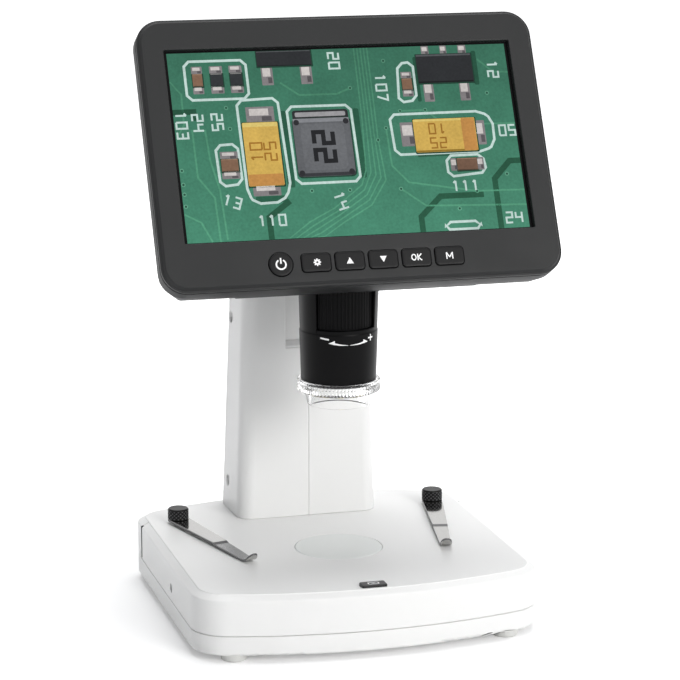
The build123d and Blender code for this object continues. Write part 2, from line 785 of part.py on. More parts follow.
ring_ledge = window_bottom - 0.4
ring_bore = barrel_radius(ring_ledge) - barrel_wall
led_board_top = led_board_z + led_board_thickness
barrel_screw_spots = [Pos(0, barrel_y, 0) * Rot(0, 0, 30 + i * 120) * Pos(barrel_screw_ring, 0, 0)
                      for i in range(3)]


def make_barrel_housing():
    """The tapered black tube: thick below the focus ring, thin where the window shows the ring."""
    tube = taper(barrel_bottom_radius, barrel_top_radius, barrel_bottom, barrel_top, 0, barrel_y)
    tube = fillet(tube.edges().group_by(Axis.Z)[0], 0.8)
    tube = chamfer(tube.edges().group_by(Axis.Z)[-1], 0.8)
    tube -= taper(ring_bore, ring_bore + 0.6, ring_ledge, barrel_top - barrel_flange, 0, barrel_y)
    tube -= rod(barrel_lip_radius, barrel_bottom - 1, led_board_top, 0, barrel_y)
    tube -= rod(focus_ring_bore, led_board_top - 1, ring_ledge + 1, 0, barrel_y)
    tube -= rod(barrel_flange_bore, barrel_top - 4, barrel_top + 1, 0, barrel_y)
    half = radians(window_half_angle)
    reach = barrel_top_radius + 6
    corner = (reach * tan(half), -reach)
    wedge = make_face(Polyline((0, 0), (-corner[0], corner[1]), corner, close=True))
    window = extrude(Pos(0, barrel_y, window_bottom) * wedge, amount=focus_ring_top - window_bottom - 0.4,
                     dir=(0, 0, 1))
    tube -= window - rod(ring_bore - 1, window_bottom - 1, barrel_top, 0, barrel_y)
    for spot in barrel_screw_spots:
        tube -= spot * rod(0.85, barrel_top - 2.6, barrel_top + 1)
    return one_solid(tube)


def make_focus_ring():
    ring_top = focus_ring_top
    ring = rod(focus_ring_radius, ring_ledge + 0.1, ring_top, 0, barrel_y)
    groove = rod(0.45, window_bottom + 0.5, ring_top - 1)
    for i in range(focus_ring_ribs):
        spot = Pos(0, barrel_y, 0) * Rot(0, 0, i * 360 / focus_ring_ribs) * Pos(focus_ring_radius + 0.1, 0, 0)
        ring -= spot * groove
    return ring - rod(focus_ring_bore, ring_ledge - 1, ring_top + 1, 0, barrel_y)


lens_spots = (lens_tube_bottom + 3.0, lens_tube_bottom + 8.0)
lens_thickness = 2.4


def make_lens_tube():
    outer = focus_ring_bore - running_gap
    tube = rod(outer, ring_ledge + lens_travel + 1, lens_tube_top, 0, barrel_y)
    tube += rod(outer - 2, lens_tube_bottom, lens_tube_top, 0, barrel_y)
    tube -= rod(lens_bore - 1.2, lens_tube_bottom - 1, lens_tube_top + 1, 0, barrel_y)
    tube -= rod(lens_bore, lens_tube_bottom - 1, lens_spots[1] + lens_thickness, 0, barrel_y)
    return tube


def make_objective_lenses():
    lenses = []
    for z in lens_spots:
        lens = rod(lens_bore - running_gap, z, z + lens_thickness, 0, barrel_y)
        lenses.append(chamfer(lens.edges().group_by(Axis.Z)[0], 0.4))
    return group(lenses)


def make_lens_retainer():
    retainer = rod(lens_bore - running_gap, lens_tube_bottom, lens_spots[0], 0, barrel_y)
    retainer -= rod(lens_bore - 1.6, lens_tube_bottom - 1, lens_spots[0] + 1, 0, barrel_y)
    spacer = rod(lens_bore - running_gap, lens_spots[0] + lens_thickness, lens_spots[1], 0, barrel_y)
    spacer -= rod(lens_bore - 1.6, lens_spots[0], lens_spots[1] + 1, 0, barrel_y)
    return group([retainer, spacer])


def make_led_board():
    board = rod(barrel_lip_radius - running_gap, led_board_z, led_board_top, 0, barrel_y)
    return board - rod(6.5, led_board_z - 1, led_board_top + 1, 0, barrel_y)


def make_ring_leds():
    chip = block(-1.75, 1.75, -1.4, 1.4, led_board_z - 1.0, led_board_z)
    spots = [Pos(0, barrel_y, 0) * Rot(0, 0, (i + 0.5) * 360 / led_count) * Pos(led_ring, 0, 0)
             for i in range(led_count)]
    return group([spot * chip for spot in spots])


def make_clear_cap():
    """Knurled collar round the barrel's end, plain tapered skirt below, open through the middle."""
    socket = barrel_radius(cap_collar_top) + clear_gap
    cap = rod(cap_collar_radius, cap_collar_bottom, cap_collar_top, 0, barrel_y)
    cap = chamfer(cap.edges().group_by(Axis.Z)[0], 0.8)
    cap += taper(cap_skirt_bottom_radius, cap_skirt_top_radius, cap_bottom, cap_collar_bottom + 0.1, 0,
                 barrel_y)
    cap -= rod(socket, barrel_bottom - 0.1, cap_collar_top + 1, 0, barrel_y)
    spigot = barrel_lip_radius - clear_gap
    cap += rod(spigot, barrel_bottom - 0.5, led_board_z - 1.3, 0, barrel_y)
    bore = cap_skirt_bottom_radius - cap_skirt_wall
    cap -= rod(bore, cap_bottom - 1, cap_collar_top + 1, 0, barrel_y)
    return one_solid(cap)


# ---------------------------------------------------------------- head arm
arm_floor = barrel_top + arm_wall
tilt = radians(screen_tilt)
hinge_y = screen_y + sin(tilt) * hinge_height + cos(tilt) * hinge_depth
hinge_z = screen_z + cos(tilt) * hinge_height - sin(tilt) * hinge_depth


cover_post_spots = [(side * (arm_half_width - arm_wall - arm_post_radius + 1.0),
                     arm_back - arm_wall - arm_post_radius + 1.0) for side in (-1, 1)]


def arm_face(inset, z):
    """The arm from above: round over the barrel, running back to the column."""
    half = arm_half_width - inset
    back = arm_back - inset
    nose = ThreePointArc((-half, barrel_y), (0, barrel_y - half), (half, barrel_y))
    tail = Polyline((half, barrel_y), (half, back), (-half, back), (-half, barrel_y))
    return Pos(0, 0, z) * make_face([nose, *tail.edges()])


def make_head_arm():
    arm = extrude(arm_face(0, barrel_top), amount=arm_top - barrel_top, dir=(0, 0, 1))
    arm -= extrude(arm_face(arm_wall, arm_floor), amount=arm_top - barrel_top, dir=(0, 0, 1))
    arm -= rod(sensor_bore, barrel_top - 1, arm_floor + 1, 0, barrel_y)
    for spot in barrel_screw_spots:
        arm -= spot * rod(1.0, barrel_top - 1, arm_floor + 1)
        arm -= spot * rod(1.7, arm_floor - 1.0, arm_floor + 1)
    for x in (-sensor_screw_xy, sensor_screw_xy):
        arm -= rod(0.8, arm_floor - 1.9, arm_floor + 1, x, barrel_y - sensor_screw_xy)
    for x in (-arm_screw_x, arm_screw_x):
        arm -= rod_y_axis(screw_shank + 0.2, arm_back - arm_wall - 1, arm_back + 1, x, arm_screw_z)
    for x, y in cover_post_spots:
        arm += rod(arm_post_radius, arm_floor - 0.1, arm_top, x, y)
        arm -= rod(1.0, arm_floor + 4, arm_top + 1, x, y)
    return one_solid(arm)


def make_head_cover():
    """The arm's lid, with the upright that carries the screen's hinge pin."""
    top = arm_top + arm_cover_thickness
    cover = extrude(arm_face(0, arm_top), amount=arm_cover_thickness, dir=(0, 0, 1))
    cover = chamfer(cover.edges().group_by(Axis.Z)[-1], 0.8)
    half = hinge_post_half_width
    post = block(-half, half, hinge_y - hinge_post_radius, hinge_y + hinge_post_radius, top - 0.1, hinge_z)
    post += rod_x_axis(hinge_post_radius, -half, half, hinge_y, hinge_z)
    cover += post
    cover -= rod_x_axis(hinge_pin_radius + running_gap, -half - 1, half + 1, hinge_y, hinge_z)
    for x, y in cover_post_spots:
        cover -= rod(1.3, arm_top - 1, top + 1, x, y)
        cover -= rod(2.3, top - 1.3, top + 1, x, y)
    return one_solid(cover)


def make_head_screws():
    """Every screw of the head: lid, barrel, slide and camera board."""
    cover_screw = Rot(180, 0, 0) * pan_screw(2.0, 1.2, 0.95, 8)
    barrel_screw = Rot(180, 0, 0) * pan_screw(1.5, 0.95, 0.8, arm_wall + 1.4)
    slide_screw = Rot(-90, 0, 0) * pan_screw(2.2, 1.4, screw_shank - running_gap, arm_wall + 8)
    board_screw = Rot(180, 0, 0) * pan_screw(1.4, 0.9, 0.75, board_thickness + 1.8)
    screws = [Pos(x, y, arm_top + arm_cover_thickness - 0.1) * cover_screw for x, y in cover_post_spots]
    for side in (-1, 1):
        screws.append(Pos(side * arm_screw_x, arm_back - arm_wall - 1.4, arm_screw_z) * slide_screw)
        screws.append(Pos(side * sensor_screw_xy, barrel_y - sensor_screw_xy,
                          arm_floor + board_thickness + 0.9) * board_screw)
    for spot in barrel_screw_spots:
        screws.append(Pos(0, 0, arm_floor - 0.05) * spot * barrel_screw)
    return group(screws)


def make_sensor_board():
    """The camera's board, chip side down over the light path."""
    half = sensor_board_side / 2
    board = block(-half, half, barrel_y - half, barrel_y + half, arm_floor, arm_floor + board_thickness)
    board = fillet(board.edges().filter_by(Axis.Z), 4.5)
    for x in (-sensor_screw_xy, sensor_screw_xy):
        board -= rod(0.85, arm_floor - 1, arm_floor + 4, x, barrel_y - sensor_screw_xy)
    return board + block(-4, 4, barrel_y - 4, barrel_y + 4, arm_floor - 1.2, arm_floor + 0.1)


# ---------------------------------------------------------------- screen
# The screen is drawn upright: X across, Z up along the glass, +Y into the housing, and then tilted back.
screen_place = Location((0, screen_y, screen_z), (-screen_tilt, 0, 0))
outer_grow = face_bevel + rim_ledge


def screen_face(grow, depth, bottom_grow=None):
    """The housing's outline at a depth behind the face, grown outwards from the face's own edge."""
    bottom_grow = grow if bottom_grow is None else bottom_grow
    low, high = face_bottom - bottom_grow, face_top + grow
    width = 2 * (face_half_width + grow)
    corner = max(face_corner + grow, 2.0)
    plane = Plane(origin=(0, depth, (low + high) / 2), x_dir=(1, 0, 0), z_dir=(0, 1, 0))
    return plane * RectangleRounded(width, high - low, corner)


def screen_slab(grow, depth0, depth1, bottom_grow=None):
    return extrude(screen_face(grow, depth0, bottom_grow), amount=depth1 - depth0, dir=(0, 1, 0))


key_positions = {"settings": -1.5, "up": -0.5, "down": 0.5, "ok": 1.5, "menu": 2.5}
case_screw_top = face_top - case_screw_inset
case_screw_low = face_bottom + 6.0
screw_spots_screen = [(share * case_screw_x, case_screw_top) for share in (-1, -1 / 3, 1 / 3, 1)]
screw_spots_screen += [(share * case_screw_x, case_screw_low) for share in (-1, 1)]
pillar_joint = 9.0
screen_screw_head_depth = 13.6


def key_block(grow, depth0, depth1, spot):
    """A rounded key prism; the round power key has no spot number."""
    if spot is None:
        return rod_y_axis(power_radius + grow, depth0, depth1, power_x, key_row)
    x = spot * key_pitch
    plane = Plane(origin=(x, depth0, key_row), x_dir=(1, 0, 0), z_dir=(0, 1, 0))
    shape = plane * RectangleRounded(key_size[0] + 2 * grow, key_size[1] + 2 * grow, key_corner + grow)
    return extrude(shape, amount=depth1 - depth0, dir=(0, 1, 0))


def make_front_bezel():
    """Matt front frame with a stepped edge; the picture opening and the key openings go through it."""
    bezel = loft([screen_face(0, 0), screen_face(face_bevel, face_bevel_depth)])
    bezel += screen_slab(outer_grow, face_bevel_depth, bezel_depth)
    bezel += screen_slab(outer_grow - 1.0, bezel_depth - 0.1, shell_start + 1.5)
    bezel -= screen_slab(outer_grow - 1.0 - screen_wall, bezel_plate, shell_start + 2)
    bezel -= block(-view_width / 2, view_width / 2, -1, bezel_plate + 1, -view_height / 2, view_height / 2)
    for spot in [None, *key_positions.values()]:
        bezel -= key_block(sliding_gap, -1, bezel_plate + 1, spot)
    for x, z in screw_spots_screen:
        bezel += rod_y_axis(2.9, bezel_plate - 0.1, pillar_joint, x, z)
        bezel -= rod_y_axis(1.2, bezel_plate + 1, pillar_joint + 1, x, z)
    for x in (-key_board_pin_x, key_board_pin_x):
        bezel += rod_y_axis(1.8, bezel_plate - 0.1, key_board_depth, x, key_row)
        bezel += rod_y_axis(0.9, key_board_depth - 0.1, key_board_depth + board_thickness + 0.6, x, key_row)
    return one_solid(bezel)


def make_rear_shell():
    """Back cover: a straight skirt, then walls that lean in to a flat back."""
    outer = screen_slab(outer_grow, shell_start, shell_straight)
    outer += loft([screen_face(outer_grow, shell_straight),
                   screen_face(outer_grow - shell_inset, shell_depth, outer_grow - shell_bottom_inset)])
    bulge_low = face_bottom - outer_grow + shell_bottom_inset
    outer += block(-bulge_half_width, bulge_half_width, shell_depth - 4, bulge_depth, bulge_low,
                   bulge_low + bulge_height)
    inner_grow = outer_grow - screen_wall
    inner = screen_slab(inner_grow, shell_start - 1, shell_straight - 0.6)
    inner += loft([screen_face(inner_grow, shell_straight - 0.6),
                   screen_face(inner_grow - shell_inset, shell_depth - screen_wall,
                               inner_grow - shell_bottom_inset)])
    shell = outer - inner
    shell -= screen_slab(outer_grow - 0.9, shell_start - 1, shell_start + 1.7)
    for x, z in screw_spots_screen:
        pillar = rod_y_axis(3.4, pillar_joint, shell_depth, x, z)
        shell += pillar & outer
        shell -= rod_y_axis(1.5, pillar_joint - 1, shell_depth + 1, x, z)
        shell -= rod_y_axis(2.5, screen_screw_head_depth - 1.6, shell_depth + 1, x, z)
    for x, z in bracket_screw_spots:
        shell -= rod_y_axis(1.25, shell_depth - screen_wall - 1, shell_depth + 1, x, z)
    for z, half, thickness in ((socket_rows[0], 4.2, 3.0), (socket_rows[1], 7.0, 2.4)):
        front = port_depth - 0.2
        shell -= block(face_half_width - 10, face_half_width + 5, front, front + thickness, z - half,
                       z + half)
    board_left = main_board_right - main_board_size[0]
    rib_z = main_board_bottom + 8
    shell += block(board_left + 2, socket_mouth - socket_lengths[1] - 1, port_depth, shell_depth - 1, rib_z,
                   rib_z + rib_thickness) & outer
    rib_z = battery_bottom + battery_size[2] / 2
    shell += block(battery_left - 12, battery_left + battery_size[0] + 10, battery_front + battery_size[1],
                   shell_depth - 1, rib_z, rib_z + rib_thickness) & outer
    return one_solid(shell)


main_board_depth = 8.7
port_depth = main_board_depth + board_thickness
socket_rows = (34.0, 16.0)
socket_lengths = (9.0, 15.0)
battery_front = 9.0


def make_lcd_panel():
    width, height, thickness = panel_size
    return block(-width / 2, width / 2, bezel_plate, bezel_plate + thickness, -height / 2, height / 2)


def make_main_board():
    width, height = main_board_size
    left, low = main_board_right - width, main_board_bottom
    board = block(left, left + width, main_board_depth, port_depth, low, low + height)
    board += block(left + 20, left + 34, port_depth - 0.1, port_depth + 1.6, low + 16, low + 30)
    board += block(left + 44, left + 54, port_depth - 0.1, port_depth + 1.4, low + 18, low + 30)
    return board


def make_socket(z, length, half_height, thickness):
    """A metal-cased socket on the board's back, open at the housing's right side."""
    wall = 0.4
    shape = block(socket_mouth - length, socket_mouth, port_depth, port_depth + thickness, z - half_height,
                  z + half_height)
    return shape - block(socket_mouth - length + 2, socket_mouth + 1, port_depth + wall,
                         port_depth + thickness - wall, z - half_height + wall, z + half_height - wall)


def make_battery():
    width, thickness, height = battery_size
    cell = block(battery_left, battery_left + width, battery_front, battery_front + thickness, battery_bottom,
                 battery_bottom + height)
    return fillet(cell.edges().filter_by(Axis.X), 2.0)


def make_key_board():
    """The board behind the keys, with a dome switch under each of them."""
    low = face_bottom + 2.2
    high = -panel_size[1] / 2 - 0.3
    back = key_board_depth + board_thickness
    board = block(-key_board_half, key_board_half, key_board_depth, back, low, high)
    for x in (-key_board_pin_x, key_board_pin_x):
        board -= rod_y_axis(0.95, key_board_depth - 1, back + 1, x, key_row)
    for x in [power_x] + [spot * key_pitch for spot in key_positions.values()]:
        board += block(x - 2.2, x + 2.2, key_board_depth - tact_height, key_board_depth + 0.1, key_row - 1.7,
                       key_row + 1.7)
    return board


def make_key(spot):
    """A key cap: domed top, a flange behind the bezel that keeps it in, and a stem for the switch."""
    cap = key_block(0, -key_proud, bezel_plate, spot)
    cap = fillet(cap.edges().group_by(Axis.Y)[0], 0.35)
    cap += key_block(key_flange, bezel_plate + 0.1, bezel_plate + 0.1 + key_flange_thickness, spot)
    cap += key_block(-1.0, bezel_plate - 0.2, bezel_plate + 0.2, spot)
    x = power_x if spot is None else spot * key_pitch
    stem_end = key_board_depth - tact_height - key_travel - 0.1
    return cap + rod_y_axis(1.2, bezel_plate, stem_end, x, key_row)


def make_screen_screws():
    length = screen_screw_head_depth - 1.6 - pillar_joint + 4
    screw = Rot(90, 0, 0) * pan_screw(2.2, 1.6, 1.2 - running_gap, length)
    return group([Pos(x, screen_screw_head_depth, z) * screw for x, z in screw_spots_screen])


ear_start = hinge_post_half_width + hinge_washer_thickness + 0.2
ear_end = ear_start + hinge_ear_thickness
bracket_plate = 2.5
bracket_screw_x = hinge_plate_half_width - hinge_plate_screw_inset
bracket_screw_z = hinge_plate_half_height - hinge_plate_screw_inset
bracket_screw_spots = [(x, hinge_height + dz) for x in (-bracket_screw_x, bracket_screw_x)
                       for dz in (-bracket_screw_z, bracket_screw_z)]


def make_hinge_bracket():
    """Plate on the housing's back with two ears outside the arm's upright."""
    plate = block(-hinge_plate_half_width, hinge_plate_half_width, shell_depth, shell_depth + bracket_plate,
                  hinge_height - hinge_plate_half_height, hinge_height + hinge_plate_half_height)
    plate = fillet(plate.edges().filter_by(Axis.Y), 3.0)
    for side in (-1, 1):
        plate += block(side * ear_start, side * ear_end, shell_depth + 1, hinge_depth,
                       hinge_height - hinge_ear_radius, hinge_height + hinge_ear_radius)
        plate += rod_x_axis(hinge_ear_radius, side * ear_start, side * ear_end, hinge_depth, hinge_height)
    plate -= rod_x_axis(hinge_pin_radius + running_gap, -ear_end - 1, ear_end + 1, hinge_depth, hinge_height)
    for x, z in bracket_screw_spots:
        plate -= rod_y_axis(1.4, shell_depth - 1, shell_depth + bracket_plate + 1, x, z)
    return plate


def make_hinge_pin():
    pin = rod_x_axis(hinge_pin_radius, -ear_end - 0.1, ear_end + 0.1, hinge_depth, hinge_height)
    for side in (-1, 1):
        pin += rod_x_axis(hinge_pin_radius + 1.8, side * (ear_end + 0.1), side * (ear_end + 2), hinge_depth,
                          hinge_height)
    return pin


def make_hinge_washers():
    washers = []
    for side in (-1, 1):
        washer = rod_x_axis(hinge_ear_radius - 1, side * (hinge_post_half_width + 0.1),
                            side * (hinge_post_half_width + 0.1 + hinge_washer_thickness), hinge_depth,
                            hinge_height)
        washers.append(washer - rod_x_axis(hinge_pin_radius + running_gap, -20, 20, hinge_depth, hinge_height))
    return group(washers)


def make_bracket_screws():
    screw = Rot(90, 0, 0) * pan_screw(2.1, 1.3, 1.2, bracket_plate + screen_wall + 1)
    return group([Pos(x, shell_depth + bracket_plate + 1.3, z) * screw for x, z in bracket_screw_spots])


# ---------------------------------------------------------------- write every piece
stand_pieces = {
    "base_upper_shell": make_base_upper_shell(),
    "base_lower_tray": make_base_lower_tray(),
    "rubber_feet": make_feet(),
    "base_screws": make_base_screws(),
    "ballast_plate": make_ballast_plate(),
    "stage_window": make_stage_window(),
    "stage_led_board": make_stage_led_board(),
    "light_switch_key": make_light_switch_key(),
    "base_board": make_base_board(),
    "power_socket": make_power_socket(),
    "clip_inserts": make_clip_inserts(),
    "column_left_shell": make_column_shell(-1),
    "column_right_shell": make_column_shell(1),
    "column_side_screws": make_column_side_screws(),
    "column_foot_screws": make_column_foot_screws(),
    "guide_brackets": group([make_guide_bracket(lower_bracket_z), make_guide_bracket(upper_bracket_z)]),
    "guide_rods": make_guide_rods(),
    "shaft_bushes": make_shaft_bushes(),
    "focus_shaft": make_focus_shaft(),
    "focus_pinion": make_pinion(),
    "coarse_knob_left": make_coarse_knob(-1),
    "coarse_knob_right": make_coarse_knob(1),
    "slot_plate": make_slot_plate(),
    "carriage": make_carriage(),
    "carriage_bushes": make_carriage_bushes(),
    "focus_rack": make_rack(),
    "barrel_housing": make_barrel_housing(),
    "focus_ring": make_focus_ring(),
    "lens_tube": make_lens_tube(),
    "objective_lenses": make_objective_lenses(),
    "lens_retainer": make_lens_retainer(),
    "led_ring_board": make_led_board(),
    "ring_leds": make_ring_leds(),
    "clear_cap": make_clear_cap(),
    "head_arm": make_head_arm(),
    "head_cover": make_head_cover(),
    "head_screws": make_head_screws(),
    "sensor_board": make_sensor_board(),
}
for name, shape in stand_pieces.items():
    save(name, shape)

for name, (x, y), turn in (("left", clip_spots[0], clip_angles[0]),
                           ("right", clip_spots[1], clip_angles[1])):
    save(f"clip_leaf_{name}", Pos(x, y, 0) * Rot(0, 0, turn) * make_leaf())
    save(f"clip_knob_{name}", Pos(x, y, 0) * make_clip_knob())

screen_pieces = {
    "lcd_front_bezel": make_front_bezel(),
    "lcd_rear_shell": make_rear_shell(),
    "lcd_panel": make_lcd_panel(),
    "lcd_main_board": make_main_board(),
    "lcd_sockets": group([make_socket(socket_rows[0], socket_lengths[0], 3.8, 2.6),
                          make_socket(socket_rows[1], socket_lengths[1], 6.6, 1.9)]),
    "lcd_battery": make_battery(),
    "key_board": make_key_board(),
    "lcd_screws": group([*make_screen_screws().solids(), *make_bracket_screws().solids()]),
    "hinge_bracket": make_hinge_bracket(),
    "hinge_pin": make_hinge_pin(),
    "hinge_washers": make_hinge_washers(),
    "key_power": make_key(None),
}
for key_name, spot in key_positions.items():
    screen_pieces[f"key_{key_name}"] = make_key(spot)
for name, shape in screen_pieces.items():
    save(name, screen_place * shape)
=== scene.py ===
# %% [markdown]
# # A digital microscope with its own screen
# The maker's model of this instrument is already packed: every moulding, screw and gear is there, in
# metres, and the parts that move know their joints. This notebook dresses that model. It rebuilds the
# surfaces that the eye meets first, with soft edges and fine marks, and gives every piece a finish that
# behaves like the real material. We start by loading the imported model; dressing must not change its
# size.

# %% Load the imported model
import json
import math

import bmesh
import bpy
import numpy as np
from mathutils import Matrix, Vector, geometry

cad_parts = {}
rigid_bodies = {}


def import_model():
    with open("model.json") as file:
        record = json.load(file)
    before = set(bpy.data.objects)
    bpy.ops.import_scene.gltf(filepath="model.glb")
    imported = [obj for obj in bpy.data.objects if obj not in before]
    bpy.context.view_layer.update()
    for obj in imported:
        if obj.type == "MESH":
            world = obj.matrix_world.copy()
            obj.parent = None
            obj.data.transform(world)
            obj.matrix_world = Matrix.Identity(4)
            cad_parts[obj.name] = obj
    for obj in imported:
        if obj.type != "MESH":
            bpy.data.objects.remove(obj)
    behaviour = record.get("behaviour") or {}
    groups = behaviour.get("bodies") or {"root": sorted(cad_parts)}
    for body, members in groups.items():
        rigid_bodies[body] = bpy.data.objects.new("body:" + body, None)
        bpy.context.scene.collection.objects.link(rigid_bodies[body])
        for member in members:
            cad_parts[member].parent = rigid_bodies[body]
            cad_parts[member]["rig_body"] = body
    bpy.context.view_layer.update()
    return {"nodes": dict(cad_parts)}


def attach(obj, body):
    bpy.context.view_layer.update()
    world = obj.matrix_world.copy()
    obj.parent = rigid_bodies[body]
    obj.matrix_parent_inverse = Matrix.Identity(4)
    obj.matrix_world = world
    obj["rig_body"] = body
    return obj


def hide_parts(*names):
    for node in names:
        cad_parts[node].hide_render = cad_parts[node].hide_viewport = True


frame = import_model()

# %% [markdown]
# ## Camera, room and light
# The instrument stands in a plain white studio, seen a little from the left and from above, through a long
# lens that keeps its uprights nearly parallel. A camera can be aimed in many ways; here its place and its
# target are two points in the room, and the rotation is worked out from them, so each number has a
# meaning.

# %% Aim the camera
def aimed(obj, target):
    """Turn obj so that its -Z axis points from its place to the target, with its Y axis kept upright."""
    obj.rotation_euler = (Vector(target) - obj.location).to_track_quat("-Z", "Y").to_euler()


camera_place, camera_target = (-0.3164, -1.1516, 0.3874), (0.0046, 0.0, 0.12374)
lens_data = bpy.data.cameras.new("studio_camera")
lens_data.sensor_width = 36.0
lens_data.lens = 142.07
camera = bpy.data.objects.new("studio_camera", lens_data)
bpy.context.collection.objects.link(camera)
camera.location = camera_place
aimed(camera, camera_target)
bpy.context.scene.camera = camera
print("camera distance in m:", round(math.dist(camera_place, camera_target), 3))

# %% [markdown]
# Two small helpers come before any finish. Designers write colours as hex values meant for a screen, but a
# renderer adds light, so each value is turned into linear light first. And since a material is a little
# network, one function adds a node, sets its values and links its inputs in a single call.

# %% Helpers for colours and material networks
def linear(code):
    """An sRGB hex code as linear RGB: divide by 12.92 near black, else raise to the power 2.4."""
    channels = np.array([int(code[i:i + 2], 16) for i in (1, 3, 5)]) / 255
    curve = np.where(channels <= 0.04045, channels / 12.92, ((channels + 0.055) / 1.055) ** 2.4)
    return (*curve.tolist(), 1.0)


def add_node(tree, kind, inputs=None, **settings):
    """Add a node. settings name its properties or inputs; inputs gives others a value or a (node, output)."""
    made = tree.nodes.new(kind)
    for name, value in settings.items():
        if hasattr(made, name):
            setattr(made, name, value)
        else:
            made.inputs[name.replace("_", " ")].default_value = value
    for name, given in (inputs or {}).items():
        if isinstance(given, tuple) and isinstance(given[0], bpy.types.Node):
            tree.links.new(given[0].outputs[given[1]], made.inputs[name])
        else:
            made.inputs[name].default_value = given
    return made


def new_material(name):
    """An empty material with its network and its output node."""
    material = bpy.data.materials.new(name)
    material.use_nodes = True
    material.node_tree.nodes.clear()
    return material, material.node_tree, material.node_tree.nodes.new("ShaderNodeOutputMaterial")


print("mid grey #808080 is", round(linear("#808080")[0], 3), "in linear light")

# %% [markdown]
# The object stands in a white room with no visible floor or wall. The world and the floor therefore show
# plain white to the camera, to mirrors and through clear parts, while the light they really give stays
# moderate, so white plastic keeps its shades. That light is weaker from the left, as in a studio with a
# dark cloth there, so left faces turn light grey. Near the base the floor's glow is turned down, a painted
# shade round the base in which its soft shadow shows. Both changes are Map Range nodes, whose inputs 1 and
# 2 are the range that comes in and inputs 3 and 4 the range that goes out.

# %% White room and pale floor
def shown_or_lit(tree, shown, lit):
    """Mix two shaders: the first for camera, mirror and clear rays, the second for all other light."""
    path = add_node(tree, "ShaderNodeLightPath")
    seen = add_node(tree, "ShaderNodeMath", {0: (path, "Is Camera Ray"), 1: (path, "Is Glossy Ray")},
                    operation="MAXIMUM")
    seen = add_node(tree, "ShaderNodeMath", {0: (seen, 0), 1: (path, "Is Transmission Ray")},
                    operation="MAXIMUM")
    return add_node(tree, "ShaderNodeMixShader", {0: (seen, 0), 1: (lit, 0), 2: (shown, 0)})


world = bpy.data.worlds.new("white_studio")
world.use_nodes = True
room = world.node_tree
room.nodes.clear()
white = add_node(room, "ShaderNodeBackground", Color=(1, 1, 1, 1), Strength=1.0)
direction = add_node(room, "ShaderNodeTexCoord")
sides = add_node(room, "ShaderNodeSeparateXYZ", {0: (direction, "Generated")})
left_dimmed = add_node(room, "ShaderNodeMapRange",
                       {"Value": (sides, "X"), 1: -0.75, 2: 0.25, 3: 0.17, 4: 0.50},
                       interpolation_type="SMOOTHSTEP")
fill = add_node(room, "ShaderNodeBackground", {"Strength": (left_dimmed, 0)}, Color=linear("#F4F6FA"))
add_node(room, "ShaderNodeOutputWorld", {0: (shown_or_lit(room, white, fill), 0)})
bpy.context.scene.world = world
bpy.context.scene.view_settings.view_transform = "Standard"

paper, tree, out = new_material("white_paper_floor")
sheet = add_node(tree, "ShaderNodeBsdfPrincipled", Base_Color=linear("#F2F2F2"), Roughness=0.9)
place = add_node(tree, "ShaderNodeTexCoord")
far = add_node(tree, "ShaderNodeVectorMath", {0: (place, "Object")}, operation="LENGTH")
# The glow is lower near the middle of the floor: a painted shade round the base.
floor_shade_near_base = add_node(tree, "ShaderNodeMapRange", {"Value": (far, "Value"), 1: 0.09, 2: 0.30, 3: 0.24, 4: 0.78},
                interpolation_type="SMOOTHSTEP")
glow = add_node(tree, "ShaderNodeEmission", {"Strength": (floor_shade_near_base, 0)}, Color=(1, 1, 1, 1))
lit_floor = add_node(tree, "ShaderNodeAddShader", {0: (sheet, 0), 1: (glow, 0)})
mixed = shown_or_lit(tree, lit_floor, sheet)
tree.links.new(mixed.outputs[0], out.inputs[0])
floor_mesh = bpy.data.meshes.new("floor")
floor_half = 6.0
floor_corners = [(x * floor_half, y * floor_half, 0) for x, y in ((-1, -1), (1, -1), (1, 1), (-1, 1))]
floor_mesh.from_pydata(floor_corners, [], [(0, 1, 2, 3)])
floor_mesh.materials.append(paper)
floor = bpy.data.objects.new("floor", floor_mesh)
bpy.context.collection.objects.link(floor)
print("floor and world ready")

# %% [markdown]
# Soft light comes from large square panels. The main one hangs on the right and in front, so edges on that
# side shine and faint shadows fall to the left. A weaker, cooler one on the left keeps that side from
# going dull, and one overhead brightens the stage. Panels are used, and not lamps, because a wide source
# gives soft shadows.

# %% Light panels
def light_panel(name, place, target, size, watts, tint):
    """A square area light of a size in metres and a power in watts, turned to face a target."""
    data = bpy.data.lights.new(name, "AREA")
    data.shape = "SQUARE"
    data.size = size
    data.energy = watts
    data.color = linear(tint)[:3]
    panel = bpy.data.objects.new(name, data)
    bpy.context.collection.objects.link(panel)
    panel.location = place
    aimed(panel, target)
    return panel


object_middle = (0, 0, 0.12)
panels = [light_panel("key_panel", (0.92, -2.05, 1.0), object_middle, 1.1, 30.5, "#FFFEFC"),
          light_panel("left_panel", (-1.7, -0.7, 0.9), object_middle, 1.0, 0.8, "#F4F8FF"),
          light_panel("top_panel", (0.1, 0.3, 1.9), (0, 0, 0.1), 1.2, 23, "#FFFFFF")]
print("panels:", [panel.name for panel in panels])

# %% [markdown]
# ## Surfaces from numbers
# Nearly every moulding here is one idea repeated: an outline, seen from above or from the front, and a
# small profile that says how far the surface has drawn in at each height. Both are arrays. Combining them
# gives a grid of points, and a grid needs only one rule for its faces. All lengths are in millimetres
# until the mesh is made.

# %% Grids, meshes and pieces
def grid_faces(rows, columns, wrap_rows=False, wrap_columns=True):
    """Quads between neighbours of a rows x columns grid; an index wraps to 0 where the grid closes."""
    i, j = np.meshgrid(np.arange(rows if wrap_rows else rows - 1),
                       np.arange(columns if wrap_columns else columns - 1), indexing="ij")
    below, beside = (i + 1) % rows, (j + 1) % columns
    quads = [i * columns + j, i * columns + beside, below * columns + beside, below * columns + j]
    return np.stack(quads, -1).reshape(-1, 4)


